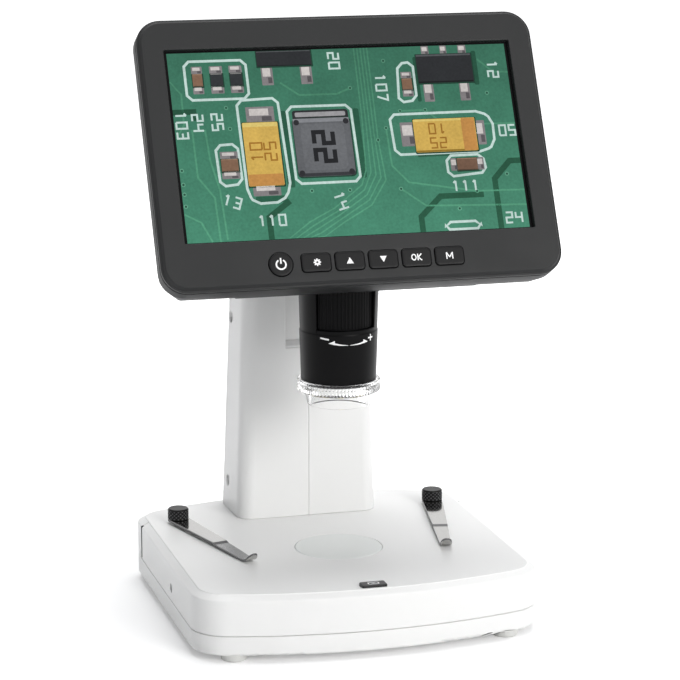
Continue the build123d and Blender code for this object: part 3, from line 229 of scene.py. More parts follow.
def patch(points):
    """One flat face through all the points, in their order."""
    return np.asarray(points, float), [list(range(len(points)))]


def level(loop, d):
    """A loop of (x, y) points as (x, y, d) points, all at one height or depth."""
    return np.concatenate([loop, np.full((len(loop), 1), float(d))], -1)


def at_x(loop, x):
    """A loop of (y, z) points as (x, y, z) points, all at one x."""
    return np.concatenate([np.full((len(loop), 1), float(x)), loop], -1)


def make_mesh(name, parts, closed=True):
    """One mesh from several (points in mm, faces) parts: shared points merged, normals turned outwards."""
    mesh = bpy.data.meshes.new(name)
    points, faces, start = [], [], 0
    for part_points, part_faces in parts:
        part_points = np.asarray(part_points, float).reshape(-1, 3)
        points.append(part_points / 1000)
        faces += [[start + int(k) for k in face] for face in part_faces]
        start += len(part_points)
    mesh.from_pydata(np.concatenate(points), [], faces)
    edit = bmesh.new()
    edit.from_mesh(mesh)
    bmesh.ops.remove_doubles(edit, verts=edit.verts, dist=2e-6)
    bmesh.ops.dissolve_degenerate(edit, edges=edit.edges, dist=1e-7)
    if closed:
        bmesh.ops.recalc_face_normals(edit, faces=edit.faces)
    edit.to_mesh(mesh)
    edit.free()
    return mesh


def read_vectors(items, name):
    """A vector property of all of a mesh's vertices or faces, as an array of (x, y, z) rows."""
    values = np.empty(len(items) * 3)
    items.foreach_get(name, values)
    return values.reshape(-1, 3)


def turned_towards(mesh, way):
    """Flip the faces of a flat print that look away from a direction."""
    edit = bmesh.new()
    edit.from_mesh(mesh)
    edit.normal_update()
    way = Vector(way)
    bmesh.ops.reverse_faces(edit, faces=[face for face in edit.faces if face.normal.dot(way) < 0])
    edit.to_mesh(mesh)
    edit.free()
    return mesh


def keep_flat(piece):
    """Weight a piece's normals by face area, so that large flat faces shade flat beside their round edges."""
    flat = piece.modifiers.new("flat_faces_stay_flat", "WEIGHTED_NORMAL")
    flat.keep_sharp = True
    flat.weight = 100


def round_edges(piece, width, angle):
    """Bevel every edge that turns by more than an angle in degrees, with a radius of a width in mm."""
    bevel = piece.modifiers.new("edge_radius", "BEVEL")
    bevel.width = width / 1000
    bevel.segments = 2
    bevel.limit_method = "ANGLE"
    bevel.angle_limit = math.radians(angle)
    bevel.use_clamp_overlap = False
    return bevel


def add_piece(name, mesh, body, material, stands_for=(), sharp=32.0, weighted=True):
    """Link a finished mesh as a piece of the microscope that moves with a body."""
    mesh.polygons.foreach_set("use_smooth", np.ones(len(mesh.polygons), bool))
    mesh.set_sharp_from_angle(angle=math.radians(sharp))
    mesh.materials.clear()
    mesh.materials.append(material)
    piece = bpy.data.objects.new(name, mesh)
    bpy.context.collection.objects.link(piece)
    if weighted:
        keep_flat(piece)
    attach(piece, body)
    if stands_for:
        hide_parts(*stands_for)
    return piece


def lofted(sections):
    """A closed bar through equal loops of (x, y, z) points, with its two end faces filled."""
    loops = np.stack(sections)
    return [(loops, grid_faces(len(loops), loops.shape[1])), patch(loops[0]), patch(loops[-1])]


def revolved(profile, centre, count, relief=None, closed=True):
    """Turn a (radius, height) profile about a vertical axis; a closed profile's last row joins its first.

    x = r cos a, y = r sin a, z = height; relief(a, row) may change the radius, as flutes and knurls do.
    """
    profile = np.asarray(profile, float)
    angle = np.arange(count) * 2 * np.pi / count
    radius = np.repeat(profile[:, :1], count, axis=1)
    if relief is not None:
        radius = radius + relief(angle[None, :], np.arange(len(profile))[:, None])
    points = np.stack([centre[0] + radius * np.cos(angle), centre[1] + radius * np.sin(angle),
                       np.repeat(profile[:, 1:], count, axis=1)], -1)
    return points, grid_faces(len(profile), count, wrap_rows=closed)


def soft_corner(before, corner, after, size):
    """Replace a profile's corner by a curve: a quadratic Bezier from and to points size away from it."""
    before, corner, after = (np.asarray(p, float) for p in (before, corner, after))
    start = corner + (before - corner) / np.linalg.norm(before - corner) * size
    end = corner + (after - corner) / np.linalg.norm(after - corner) * size
    t = np.linspace(0, 1, 5)[:, None]
    return (1 - t) ** 2 * start + 2 * t * (1 - t) * corner + t**2 * end


def soft_profile(points, sizes, closed=True):
    """Round every corner of a profile that has a size; a size of 0 keeps it sharp."""
    rows = []
    count = len(points)
    for k, size in enumerate(sizes):
        has_corner = closed or 0 < k < count - 1
        if size and has_corner:
            rows.append(soft_corner(points[k - 1], points[k], points[(k + 1) % count], size))
        else:
            rows.append(np.array([points[k]], float))
    return np.concatenate(rows)


print("a 3 x 4 grid that closes sideways has", len(grid_faces(3, 4)), "quads")

# %% [markdown]
# A flat face with holes, such as the frame round the screen, isn't a grid. It is the area between an outer
# loop and some inner loops, and a constrained triangulation fills it: triangles that never cross a loop's
# edges. It fills the holes too, so the triangles whose middle lies inside an inner loop are dropped.

# %% Flat faces with holes
def inside(points, loop):
    """For each point, count the loop's edges that a ray to the right crosses: an odd count means inside."""
    x, y = points[:, :1], points[:, 1:]
    x0, y0 = loop[:, 0], loop[:, 1]
    x1, y1 = np.roll(x0, -1), np.roll(y0, -1)
    spans = (y0 > y) != (y1 > y)
    slope = np.where(y1 == y0, 1.0, y1 - y0)
    return ((spans & (x < (x1 - x0) * (y - y0) / slope + x0)).sum(1) % 2).astype(bool)


def filled(loops, height):
    """Fill between the first loop and the others, at a constant height."""
    flat = np.concatenate([np.asarray(loop, float) for loop in loops])
    edges, start = [], 0
    for loop in loops:
        edges += [(start + k, start + (k + 1) % len(loop)) for k in range(len(loop))]
        start += len(loop)
    result = geometry.delaunay_2d_cdt([Vector(p) for p in flat.tolist()], edges, [], 1, 1e-7)
    corners = np.array([tuple(p) for p in result[0]])
    triangles = np.array(result[2])
    middles = corners[triangles].mean(1)
    keep = inside(middles, np.asarray(loops[0], float))
    for loop in loops[1:]:
        keep &= ~inside(middles, np.asarray(loop, float))
    points = np.full((len(corners), 3), float(height))
    points[:, :2] = corners
    return points, triangles[keep].tolist()


square = np.array([(-1, -1), (1, -1), (1, 1), (-1, 1)], float)
print("a square with a square hole takes", len(filled([2 * square, square], 0)[1]), "triangles")

# %% [markdown]
# ## Finishes
# A moulded plastic is never one flat colour. Its gloss wanders a little, its skin has a faint waviness
# that moulders call orange peel, and matt tools leave a fine spark-eroded grain. Both are noise with a
# real size: about 2 mm for orange peel and about 0.4 mm for the grain, drawn a touch coarser than life so
# that it still shows. A third, broad noise of about 22 mm makes the gloss and the colour wander a little.

# %% Moulded plastics
def moulded(name, colour, roughness, grain_mm, grain_depth, mottle=0.04, coat=0.0, shine=0.5):
    """Plastic with wandering gloss and a skin pattern of a given size and depth in mm."""
    material, tree, out = new_material(name)
    place = add_node(tree, "ShaderNodeTexCoord")
    broad = add_node(tree, "ShaderNodeTexNoise", {"Vector": (place, "Object")}, Scale=45.0, Detail=3.0)
    grain = add_node(tree, "ShaderNodeTexNoise", {"Vector": (place, "Object")}, Scale=1000 / grain_mm,
                     Detail=2.0)
    dark = [channel * (1 - mottle) for channel in linear(colour)[:3]]
    tint = add_node(tree, "ShaderNodeMix", {0: (broad, "Fac"), 6: (*dark, 1), 7: linear(colour)},
                    data_type="RGBA")
    gloss = add_node(tree, "ShaderNodeMapRange",
                     {"Value": (broad, "Fac"), 1: 0.3, 2: 0.7, 3: roughness * 0.92, 4: roughness * 1.08})
    bump = add_node(tree, "ShaderNodeBump", {"Height": (grain, "Fac")}, Strength=1.0,
                    Distance=grain_depth / 1000)
    skin = add_node(tree, "ShaderNodeBsdfPrincipled",
                    {"Base Color": (tint, 2), "Roughness": (gloss, 0), "Normal": (bump, 0)}, IOR=1.5,
                    Coat_Weight=coat, Coat_Roughness=0.08, Specular_IOR_Level=shine)
    tree.links.new(skin.outputs[0], out.inputs[0])
    return material


# White housings: even and softly shiny. The slide plate is a slippery acetal, so it is a shade duller.
white_abs = moulded("glossy_white_abs", "#F1F1F0", 0.36, 2.4, 0.006, mottle=0.012, coat=0.08, shine=0.38)
white_pom = moulded("satin_white_slide_plastic", "#ECECEB", 0.42, 1.2, 0.004, mottle=0.015)
# Dark housings: the screen's eroded grain scatters light, so it looks grey; the barrel's finer skin stays
# black.
dark_abs = moulded("spark_grained_dark_grey_abs", "#161718", 0.52, 0.45, 0.012, mottle=0.06, shine=0.30)
shell_abs = moulded("spark_grained_back_cover_abs", "#151617", 0.48, 0.45, 0.012, mottle=0.06, shine=0.2)
black_abs = moulded("satin_black_abs", "#0C0C0D", 0.36, 0.6, 0.006, mottle=0.10, shine=0.35)
barrel_abs = moulded("satin_black_barrel_abs", "#040405", 0.36, 0.6, 0.004, mottle=0.10, shine=0.08)
# Parts that fingers touch: silky keys, nylon knobs and screws with a harder gloss, and a dull ribbed ring.
key_plastic = moulded("silky_black_key_plastic", "#141415", 0.40, 0.5, 0.003, mottle=0.08, shine=0.15)
knob_plastic = moulded("knurled_black_nylon", "#070708", 0.30, 0.5, 0.010, mottle=0.10, shine=0.35)
knurl_nylon = moulded("glossy_knurled_nylon", "#030304", 0.30, 0.3, 0.004, mottle=0.10, shine=0.2)
ring_plastic = moulded("ribbed_black_ring_plastic", "#030304", 0.45, 0.5, 0.004, mottle=0.10, shine=0.08)
# A joint's inside is shaded by its own walls; that shade is painted on in grey. The feet are a pale, matt
# rubber.
groove_painted_shade = moulded("painted_groove_shade_abs", "#5A5A5A", 0.60, 0.8, 0.004)
foot_rubber = moulded("pale_foot_rubber", "#D9D9D6", 0.55, 0.6, 0.010, mottle=0.04)
print("plastics:", sum("plastic" in m.name or "abs" in m.name for m in bpy.data.materials))

# %% [markdown]
# Metals keep no colour of their own under the surface: all that shows is reflected. What tells them apart
# is how the last tool left them. Polished strip has hair-fine scratches along its length, turned parts
# have rings, and a zinc-plated screw is a little cloudy. The scratches are noise stretched along one
# direction.

# %% Metals
def worked_metal(name, colour, roughness, scratch_mm, stretch=(1.0, 1.0, 1.0), depth=0.002):
    """Metal with scratches: noise of a size in mm, stretched by a factor along each axis."""
    material, tree, out = new_material(name)
    place = add_node(tree, "ShaderNodeTexCoord")
    drawn = add_node(tree, "ShaderNodeMapping", {"Vector": (place, "Object")}, Scale=[1 / s for s in stretch])
    lines = add_node(tree, "ShaderNodeTexNoise", {"Vector": (drawn, 0)}, Scale=1000 / scratch_mm, Detail=3.0)
    gloss = add_node(tree, "ShaderNodeMapRange",
                     {"Value": (lines, "Fac"), 3: roughness * 0.75, 4: roughness * 1.25})
    bump = add_node(tree, "ShaderNodeBump", {"Height": (lines, "Fac")}, Strength=0.6, Distance=depth / 1000)
    dark = [0.88 * channel for channel in linear(colour)[:3]]
    shade = add_node(tree, "ShaderNodeMix", {0: (lines, "Fac"), 6: (*dark, 1), 7: linear(colour)},
                     data_type="RGBA")
    skin = add_node(tree, "ShaderNodeBsdfPrincipled",
                    {"Base Color": (shade, 2), "Roughness": (gloss, 0), "Normal": (bump, 0)}, Metallic=1.0)
    tree.links.new(skin.outputs[0], out.inputs[0])
    return material


spring_steel = worked_metal("polished_spring_steel", "#C9C8C6", 0.09, 0.5, stretch=(1, 14, 1), depth=0.001)
sheared_and_shaded_steel = worked_metal("sheared_steel_edge_painted_shade", "#6F6F70", 0.42, 0.4)
darker_rough_steel = worked_metal("darker_rough_spring_steel_end", "#A9A9AA", 0.28, 0.4)
zinc_steel = worked_metal("zinc_plated_steel", "#B9B9BB", 0.34, 0.7)
ground_steel = worked_metal("ground_steel_bar", "#C4C4C6", 0.22, 0.35, stretch=(1, 1, 0.2))
black_steel = worked_metal("blackened_steel", "#2B2B2D", 0.42, 0.8, depth=0.004)
turned_brass = worked_metal("turned_brass", "#C9A25A", 0.26, 0.4)
black_alloy = worked_metal("black_anodised_aluminium", "#161617", 0.36, 0.4, depth=0.003)
cast_alloy = worked_metal("satin_cast_aluminium", "#B4B5B7", 0.40, 0.9, depth=0.006)
foil = worked_metal("battery_foil_wrap", "#9A9C9E", 0.38, 1.5, depth=0.01)
print("metals:", spring_steel.name, zinc_steel.name, turned_brass.name)

# %% [markdown]
# Clear parts are moulded acrylic. Light bends on the way in and again on the way out, which is why a
# hollow cap shows bright and dark rims. The stage window is the same acrylic with a frosted skin, and the
# lenses are coated glass. Circuit boards are glass fibre under a thin green solder mask, whose gloss lies
# over tracks of copper. Solid acrylic bends light with an index of 1.49; the cap gets 1.28, a value chosen
# for lighter rims.

# %% Acrylic, glass and boards
def clear_material(name, colour, roughness, ior):
    """A clear solid with a faint flow pattern in its skin, in waves of about 6 mm."""
    material, tree, out = new_material(name)
    place = add_node(tree, "ShaderNodeTexCoord")
    flow = add_node(tree, "ShaderNodeTexNoise", {"Vector": (place, "Object")}, Scale=160.0, Detail=1.0)
    bump = add_node(tree, "ShaderNodeBump", {"Height": (flow, "Fac")}, Strength=0.5, Distance=0.00002)
    body = add_node(tree, "ShaderNodeBsdfPrincipled", {"Normal": (bump, 0)}, Base_Color=linear(colour),
                    Roughness=roughness, IOR=ior, Transmission_Weight=1.0)
    tree.links.new(body.outputs[0], out.inputs[0])
    return material


def board_material():
    """Solder mask over copper: bricks of 1.5 mm by 0.8 mm stand for rows of tracks."""
    material, tree, out = new_material("green_solder_mask_board")
    place = add_node(tree, "ShaderNodeTexCoord")
    tracks = add_node(tree, "ShaderNodeTexBrick", {"Vector": (place, "Object")}, Scale=330.0,
                      Color1=linear("#1F6B45"), Color2=linear("#1B6340"), Mortar=linear("#2C8557"))
    mask = add_node(tree, "ShaderNodeBsdfPrincipled", {"Base Color": (tracks, "Color")}, Roughness=0.34)
    tree.links.new(mask.outputs[0], out.inputs[0])
    return material


clear_acrylic = clear_material("clear_moulded_acrylic", "#FFFFFF", 0.02, 1.28)
coated_glass = clear_material("coated_lens_glass", "#E6F0F6", 0.0, 1.52)
frosted = moulded("frosted_acrylic_window", "#E9ECEA", 0.38, 0.9, 0.004, mottle=0.02, coat=0.1)
green_board = board_material()
phosphor = moulded("yellow_led_phosphor", "#E9D25A", 0.35, 0.5, 0.002)
print("clear:", clear_acrylic.name, "board:", green_board.name)

# %% [markdown]
# ## Machined and moulded parts with their edges softened
# No real edge is perfectly sharp: a tool or a mould always leaves a small radius, and that radius is what
# catches a thin line of light. Parts whose shape is otherwise right are copied, cleaned of the extra edges
# that a triangle mesh carries, and given a narrow Bevel. The width is the real one in millimetres. Inside
# each half of the column two ledges reach a little too far and poke through its round front corner; their
# ends are taken off here.

# %% Soften a part's edges
corner_x, corner_y, corner_lean = 27.03, 46.0, 0.03
corner_reach = 7.3


def corner_trimmed(edit):
    """Take off the ends of the ledges that stand out of the column's round front corners; close the wall.

    At height z the corner's axis is at x = 27.03 - 0.03 (z - 30.2) and y = 46, and its radius is 7 mm. The
    wall's own points lie within 0.07 mm of that, and the ends of the ledges 0.88 mm or more outside it.
    """
    def stands_out(vertex):
        """Whether a vertex lies in front of the corner's axis and beside it, and beyond the wall."""
        x, y, z = vertex.co * 1000
        across, along = abs(x) - (corner_x - corner_lean * (z - 30.2)), corner_y - y
        return across > 0 and along > 0 and math.hypot(across, along) > corner_reach

    bmesh.ops.delete(edit, geom=[vertex for vertex in edit.verts if stands_out(vertex)], context="VERTS")
    rims = [edge for edge in edit.edges if edge.is_boundary]
    patches = bmesh.ops.holes_fill(edit, edges=rims, sides=0)["faces"]
    bmesh.ops.triangulate(edit, faces=patches, quad_method="BEAUTY", ngon_method="BEAUTY")
    print("patches where ledges were trimmed:", len(patches), "open edges left:",
          sum(edge.is_boundary for edge in edit.edges))


def softened(node, material, width, trim=None):
    """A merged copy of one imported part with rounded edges; it stands for that part."""
    source = frame["nodes"][node]
    mesh = source.data.copy()
    edit = bmesh.new()
    edit.from_mesh(mesh)
    bmesh.ops.remove_doubles(edit, verts=edit.verts, dist=2e-6)
    if trim:
        trim(edit)
    bmesh.ops.dissolve_limit(edit, angle_limit=math.radians(0.4), verts=edit.verts, edges=edit.edges)
    edit.to_mesh(mesh)
    edit.free()
    for layer in [a for a in mesh.attributes if a.name.startswith("custom_normal")]:
        mesh.attributes.remove(layer)
    piece = add_piece(node + "_soft", mesh, source["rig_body"], material, (node,), weighted=False)
    round_edges(piece, width, 35).miter_outer = "MITER_ARC"
    keep_flat(piece)
    return piece


softened("base_lower_tray", white_abs, 0.4)
softened("column_left_shell", white_abs, 0.5, trim=corner_trimmed)
softened("column_right_shell", white_abs, 0.5, trim=corner_trimmed)
softened("slot_plate", white_pom, 0.3)

# %% [markdown]
# ## The base's top moulding
# Seen from above, the base has straight sides, a bowed front and back, and round corners. One function
# gives that outline as points with outward normals. Drawing it smaller is then easy: every point moves in
# along its normal, and arcs stay arcs. A short profile of inset against height carries the outline up the
# wall, over the sloped shoulder and on to the flat stage, and back down the inside.

# %% Outline of the base
base_half_width, base_half_depth = 79.3, 82.8
front_bow, back_bow = 244.0, 189.0
front_corner, back_corner = 18.0, 15.0
groove_y = (47.4, 49.6)


def arc_points(centre, radius, start, end, count):
    """Points and outward normals of an arc: centre + radius (cos a, sin a), with a in degrees."""
    a = np.radians(np.linspace(start, end, count))
    normal = np.stack([np.cos(a), np.sin(a)], -1)
    return np.asarray(centre) + radius * normal, normal


def base_outline():
    """Counter-clockwise from the middle of the front.

    Each corner circle touches a side and, from inside, a bow.
    """
    front_centre, back_centre = front_bow - base_half_depth, base_half_depth - back_bow
    fx, bx = base_half_width - front_corner, base_half_width - back_corner
    fy = front_centre - math.sqrt((front_bow - front_corner) ** 2 - fx**2)
    by = back_centre + math.sqrt((back_bow - back_corner) ** 2 - bx**2)
    front_turn = math.degrees(math.atan2(fy - front_centre, fx))
    back_turn = math.degrees(math.atan2(by - back_centre, bx))
    side = np.r_[np.linspace(fy, groove_y[0] - 0.12, 50)[1:], groove_y[0], groove_y[0] + 0.1,
                 groove_y[1] - 0.1, groove_y[1], np.linspace(groove_y[1] + 0.12, by, 6)[:-1]]
    runs = [arc_points((0, front_centre), front_bow, -90, front_turn, 40),
            arc_points((fx, fy), front_corner, front_turn, 0, 16),
            (np.stack([np.full(len(side), base_half_width), side], -1), np.tile([1.0, 0.0], (len(side), 1))),
            arc_points((bx, by), back_corner, 0, back_turn, 16),
            arc_points((0, back_centre), back_bow, back_turn, 90, 40)]
    points = np.concatenate([run[0] for run in runs])
    normals = np.concatenate([run[1] for run in runs])
    keep = np.r_[True, np.linalg.norm(np.diff(points, axis=0), axis=1) > 1e-6]
    flip = np.array([-1.0, 1.0])
    return [np.concatenate([half[keep], half[keep][-2:0:-1] * flip]) for half in (points, normals)]


outline, outward = base_outline()
in_groove = (outline[:, 1] > groove_y[0] + 0.05) & (outline[:, 1] < groove_y[1] - 0.05)
in_groove &= abs(outward[:, 1]) < 1e-6
print("outline points:", len(outline), "reach in mm:", outline.max(0).round(2),
      "groove columns:", in_groove.sum())

# %% Wall, shoulder and stage
def circle(radius, centre, count=96):
    """Points of a circle, counter-clockwise: centre + radius (cos a, sin a)."""
    a = np.arange(count) * 2 * np.pi / count
    return np.asarray(centre) + radius * np.stack([np.cos(a), np.sin(a)], -1)


def rounded_box(half_x, half_y, corner, centre=(0, 0), steps=8):
    """A rectangle with round corners, counter-clockwise: four arcs about the corner centres."""
    quarters = []
    for sx, sy, start in ((1, -1, -90), (1, 1, 0), (-1, 1, 90), (-1, -1, 180)):
        axis = (sx * (half_x - corner), sy * (half_y - corner))
        quarters.append(arc_points(axis, corner, start, start + 90, steps)[0])
    return np.concatenate(quarters) + np.asarray(centre)


def walls(loops, heights):
    """A strip of quads that joins equal loops (x, y), each at its own height."""
    points = np.stack([level(loop, z) for loop, z in zip(loops, heights)])
    return points, grid_faces(len(loops), len(loops[0]))


wall_foot, wall_top, stage_under, stage_top = 12.15, 28.0, 27.8, 30.2
lap, stage_inset = 2.4, 6.5
groove_in_wall, groove_in_shoulder = 1.8, 0.8
switch_centre, window_centre = (-1.2, -75.0), (0, -14)
profile = soft_profile([(lap, wall_foot), (0, wall_foot), (0, wall_top), (3.45, 29.72), (3.7, stage_top),
                        (stage_inset, stage_top)], [0, 0.5, 0.6, 0.12, 0.2, 0], False)
inset, height = profile[:, :1], profile[:, 1]
in_wall, in_shoulder = height[:, None] < wall_top + 0.2, height[:, None] < stage_top - 0.05
depth = np.where(in_wall, groove_in_wall, np.where(in_shoulder, groove_in_shoulder, 0.0)) * in_groove
skin = outline - (inset + depth)[..., None] * outward
under = np.array([(lap, wall_foot), (lap, 25.6), (5.0, stage_under), (stage_inset, stage_under)])
lining = outline - under[:, :1, None] * outward
window = [circle(radius, window_centre) for radius in (20.45, 20.3, 20.2, 20.2, 18.8, 18.8)]
window_z = [stage_top, 30.15, 30.0, 28.35, 28.35, stage_under]
switch = [rounded_box(5.9 + g, 3.2 + g, 1.0 + g, switch_centre) for g in (0.25, 0.08, 0.0, 0.0)]
switch_z = [stage_top, 30.13, 29.9, stage_under]
stage_edge = outline - stage_inset * outward
base_top = make_mesh("base_top_moulding", [
    walls(skin, height), walls(lining, under[:, 1]), walls(window, window_z), walls(switch, switch_z),
    filled([stage_edge, window[0], switch[0]], stage_top),
    filled([stage_edge, window[-1], switch[-1]], stage_under)])
print("base top:", len(base_top.polygons), "faces")

# %% [markdown]
# The power socket sits behind a round hole in the left wall. The wall is a plain grid, so the hole is
# drilled: a short rod is taken away from the finished moulding, and the rod is then thrown away.

# %% Drill the hole for the power socket
def drilled(mesh, axis_yz, radius, x_from, x_to):
    """The mesh less a rod along x: circle (y, z) = axis + radius (cos a, sin a)."""
    ring = circle(radius, axis_yz, 48)
    rod = make_mesh("socket_drill", lofted([at_x(ring, x) for x in (x_from, x_to)]))
    body, tool = bpy.data.objects.new("undrilled", mesh), bpy.data.objects.new("drill", rod)
    for item in (body, tool):
        bpy.context.collection.objects.link(item)
    cut = body.modifiers.new("hole", "BOOLEAN")
    cut.operation = "DIFFERENCE"
    cut.solver = "EXACT"
    cut.object = tool
    bpy.context.view_layer.update()
    result = bpy.data.meshes.new_from_object(body.evaluated_get(bpy.context.evaluated_depsgraph_get()))
    for item in (body, tool):
        bpy.data.objects.remove(item)
    result.name = mesh.name
    return result


socket_axis, socket_radius = (-17.6, 18.1), 2.2
base_top = drilled(base_top, socket_axis, socket_radius, -81.0, -75.5)
add_piece("base_top_moulding", base_top, "stand", white_abs, ("base_upper_shell",))
# The faces inside the two side grooves, 78 mm from the middle, take the grey painted shade.
spots = read_vectors(base_top.polygons, "center") * 1000
groove_shade_faces = (abs(abs(spots[:, 0]) - 78.0) < 1.1) & (abs(spots[:, 1] - 48.5) < 1.15)
groove_shade_faces &= abs(spots[:, 2] - 21.5) < 7.0
base_top.materials.append(groove_painted_shade)
base_top.polygons.foreach_set("material_index", groove_shade_faces.astype(np.int32))
print("drilled base top:", len(base_top.polygons), "faces, shaded in the side grooves:", int(groove_shade_faces.sum()))

# %% [markdown]
# Two round pads under the front corners show below the tray. Each is turned from a short profile with a
# rounded foot, and reaches just into the tray.

# %% Front pads
pad_outline = soft_profile([(0.4, 0.0), (5.7, 0.0), (6.2, 3.3), (0.4, 3.3)], [0, 0.8, 0.3, 0])
pad_centre = (62.3, -68.0)
pads = [revolved(pad_outline, (side * pad_centre[0], pad_centre[1]), 48, closed=False) for side in (-1, 1)]
pad_lids = [patch(points[row]) for points, _ in pads for row in (0, -1)]
front_pads = make_mesh("front_pads", pads + pad_lids)
add_piece("front_pads", front_pads, "stand", foot_rubber)
print("front pads:", len(front_pads.polygons), "faces")

# %% [markdown]
# The slot in the column has a sloped sill at its foot, the edge that the slide cover slips behind.

# %% Sill of the slot
slot_half_width = 11.05
sill = soft_profile([(39.35, 112.45), (41.55, 112.45), (41.55, 115.6), (41.1, 115.6), (39.35, 113.4)],
                    [0.1, 0.1, 0.15, 0.15, 0.3])
sill_mesh = make_mesh("slot_sill", lofted([at_x(sill, x) for x in (-slot_half_width, slot_half_width)]))
add_piece("slot_sill", sill_mesh, "stand", white_abs)
print("slot sill:", len(sill), "points round")

# %% [markdown]
# ## The screen housing
# The screen leans back by 26.8 degrees, so its parts are easiest to describe in its own terms: u to the
# right, v up along the screen and d into it, from the middle of the picture. One function turns those into
# room coordinates. The frame is one moulding: a face, a bevel round it, a narrow ledge, and a skirt that
# plugs into the back cover.

# %% Screen coordinates and the outline of the housing
screen_tilt, screen_y, screen_z = math.radians(26.8), -34.3, 220.9
face_half_width, face_top, face_bottom, face_corner = 88.2, 56.3, -63.1, 9.4


def on_screen(points):
    """(u, v, d) to room mm: x = u, y = screen_y + d cos t + v sin t, z = screen_z - d sin t + v cos t."""
    u, v, d = np.moveaxis(np.asarray(points, float), -1, 0)
    c, s = math.cos(screen_tilt), math.sin(screen_tilt)
    return np.stack([u, screen_y + d * c + v * s, screen_z - d * s + v * c], -1)


def housing_row(grow, d):
    """The housing's outline, grown by an amount, at depth d, as (u, v, d) points."""
    half_v, middle = (face_top - face_bottom) / 2, (face_top + face_bottom) / 2
    return level(rounded_box(face_half_width + grow, half_v + grow, face_corner + grow, (0, middle), 12), d)


def screen_strip(loops):
    """Quads between equal (u, v, d) loops, turned into room coordinates."""
    return on_screen(np.stack(loops)), grid_faces(len(loops), len(loops[0]))


def screen_fill(loops, d):
    """The face between the first (u, v) loop and the others at depth d, turned into room coordinates."""
    points, faces = filled(loops, d)
    return on_screen(points), faces


key_u = [-22.5, -7.5, 7.5, 22.5, 37.5]
key_v, power_u = -54.9, -38.1
key_names = ["settings", "up", "down", "ok", "menu", "power"]


def key_rings(half_width, half_height, corner, radius, section):
    """Loops (u, v, d) for the five oblong keys and the round one, grown by each (g, d) of a section."""
    rings = []
    for u in key_u:
        rings.append([level(rounded_box(half_width + g, half_height + g, corner + g, (u, key_v)), d)
                      for g, d in section])
    return rings + [[level(circle(radius + g, (power_u, key_v), 64), d) for g, d in section]]


frame_thickness = 2.5
front = soft_profile([(-2, 0), (0, 0), (1.1, 1.7), (1.8, 1.75), (1.8, 3.4), (0.8, 3.4), (0.8, 5.4),
                      (-1.2, 5.4), (-1.2, frame_thickness), (-2, frame_thickness)],
                     [0, 0.35, 0.25, 0.25, 0.25, 0.15, 0.2, 0.2, 0.3, 0], False)
frame_rows = [housing_row(grow, d) for grow, d in front]
view_section = [(0.45, 0.0), (0.2, 0.07), (0.06, 0.22), (0.0, 0.5), (0.0, frame_thickness)]
view_loops = [level(rounded_box(78.65 + g, 43.8 + g, 0.5 + g), d) for g, d in view_section]
key_section = [(0.25, 0.0), (0.1, 0.05), (0.0, 0.2), (0.0, frame_thickness)]
holes = [view_loops] + key_rings(6.7, 4.25, 1.8, 5.5, key_section)
parts = [screen_strip(frame_rows)] + [screen_strip(loops) for loops in holes]
for row, d in ((0, 0.0), (-1, frame_thickness)):
    parts.append(screen_fill([frame_rows[row][:, :2]] + [loops[row][:, :2] for loops in holes], d))
screen_frame = make_mesh("screen_frame", parts)
add_piece("screen_frame", screen_frame, "screen", dark_abs, ("lcd_front_bezel",))
softened("lcd_rear_shell", shell_abs, 0.6)
print("screen frame:", len(screen_frame.polygons), "faces")

# %% [markdown]
# ## Keys
# Each key is a small silicone-backed cap that stands half a millimetre proud, with rounded edges that
# catch light. Its white sign is a flat print, made here as a separate sheet of the thickness of ink. Signs
# are drawn from strokes, circles and triangles: a power ring, a gear, two arrows, and plain letters for
# confirm and menu.

# %% Key caps
cap_section = [(-0.9, -0.5), (-0.35, -0.48), (-0.1, -0.36), (0.0, -0.1), (0.0, 2.4)]
for name, rows in zip(key_names, key_rings(6.5, 4.05, 1.6, 5.3, cap_section)):
    ends = [screen_fill([row[:, :2]], row[0, 2]) for row in (rows[0], rows[-1])]
    cap = make_mesh(f"{name}_key_cap", [screen_strip(rows)] + ends)
    add_piece(f"{name}_key_cap", cap, f"{name}_key", key_plastic, (f"key_{name}",))
print("keys:", key_names)

# %% Signs on the keys
def stroke(path, width, closed=False):
    """A line of a given width as quads: each point moves half the width along its segments' mitre."""
    path = np.asarray(path, float)
    ahead = np.roll(path, -1, 0) - path
    behind = path - np.roll(path, 1, 0)
    if not closed:
        ahead[-1], behind[0] = behind[-1], ahead[0]
    ahead /= np.linalg.norm(ahead, axis=1, keepdims=True)
    behind /= np.linalg.norm(behind, axis=1, keepdims=True)
    side_a, side_b = (np.stack([-v[:, 1], v[:, 0]], -1) for v in (ahead, behind))
    mitre = side_a + side_b
    mitre *= (width / np.maximum((mitre * side_a).sum(1, keepdims=True), 0.6) / 2)
    edges = np.stack([path + mitre, path - mitre])
    faces = grid_faces(2, len(path), wrap_columns=closed)
    return edges.reshape(-1, 2), faces


def ring_sector(centre, inner, outer, start, end):
    """Part of a ring between two radii, from a start angle to an end angle in degrees."""
    arcs = [arc_points(centre, radius, start, end, 40)[0] for radius in (outer, inner)]
    return np.concatenate(arcs), grid_faces(2, 40, wrap_columns=False)


def gear_sign(centre):
    """Radius 1.45 + 0.25 c round a hole of radius 0.45, where c is 2.2 cos(8 a) kept between -1 and 1."""
    a = np.linspace(0, 2 * np.pi, 96, endpoint=False)
    r = 1.45 + 0.25 * np.clip(2.2 * np.cos(8 * a), -1, 1)
    way = np.stack([np.cos(a), np.sin(a)], -1)
    return np.concatenate([centre + r[:, None] * way, centre + 0.45 * way]), grid_faces(2, 96)


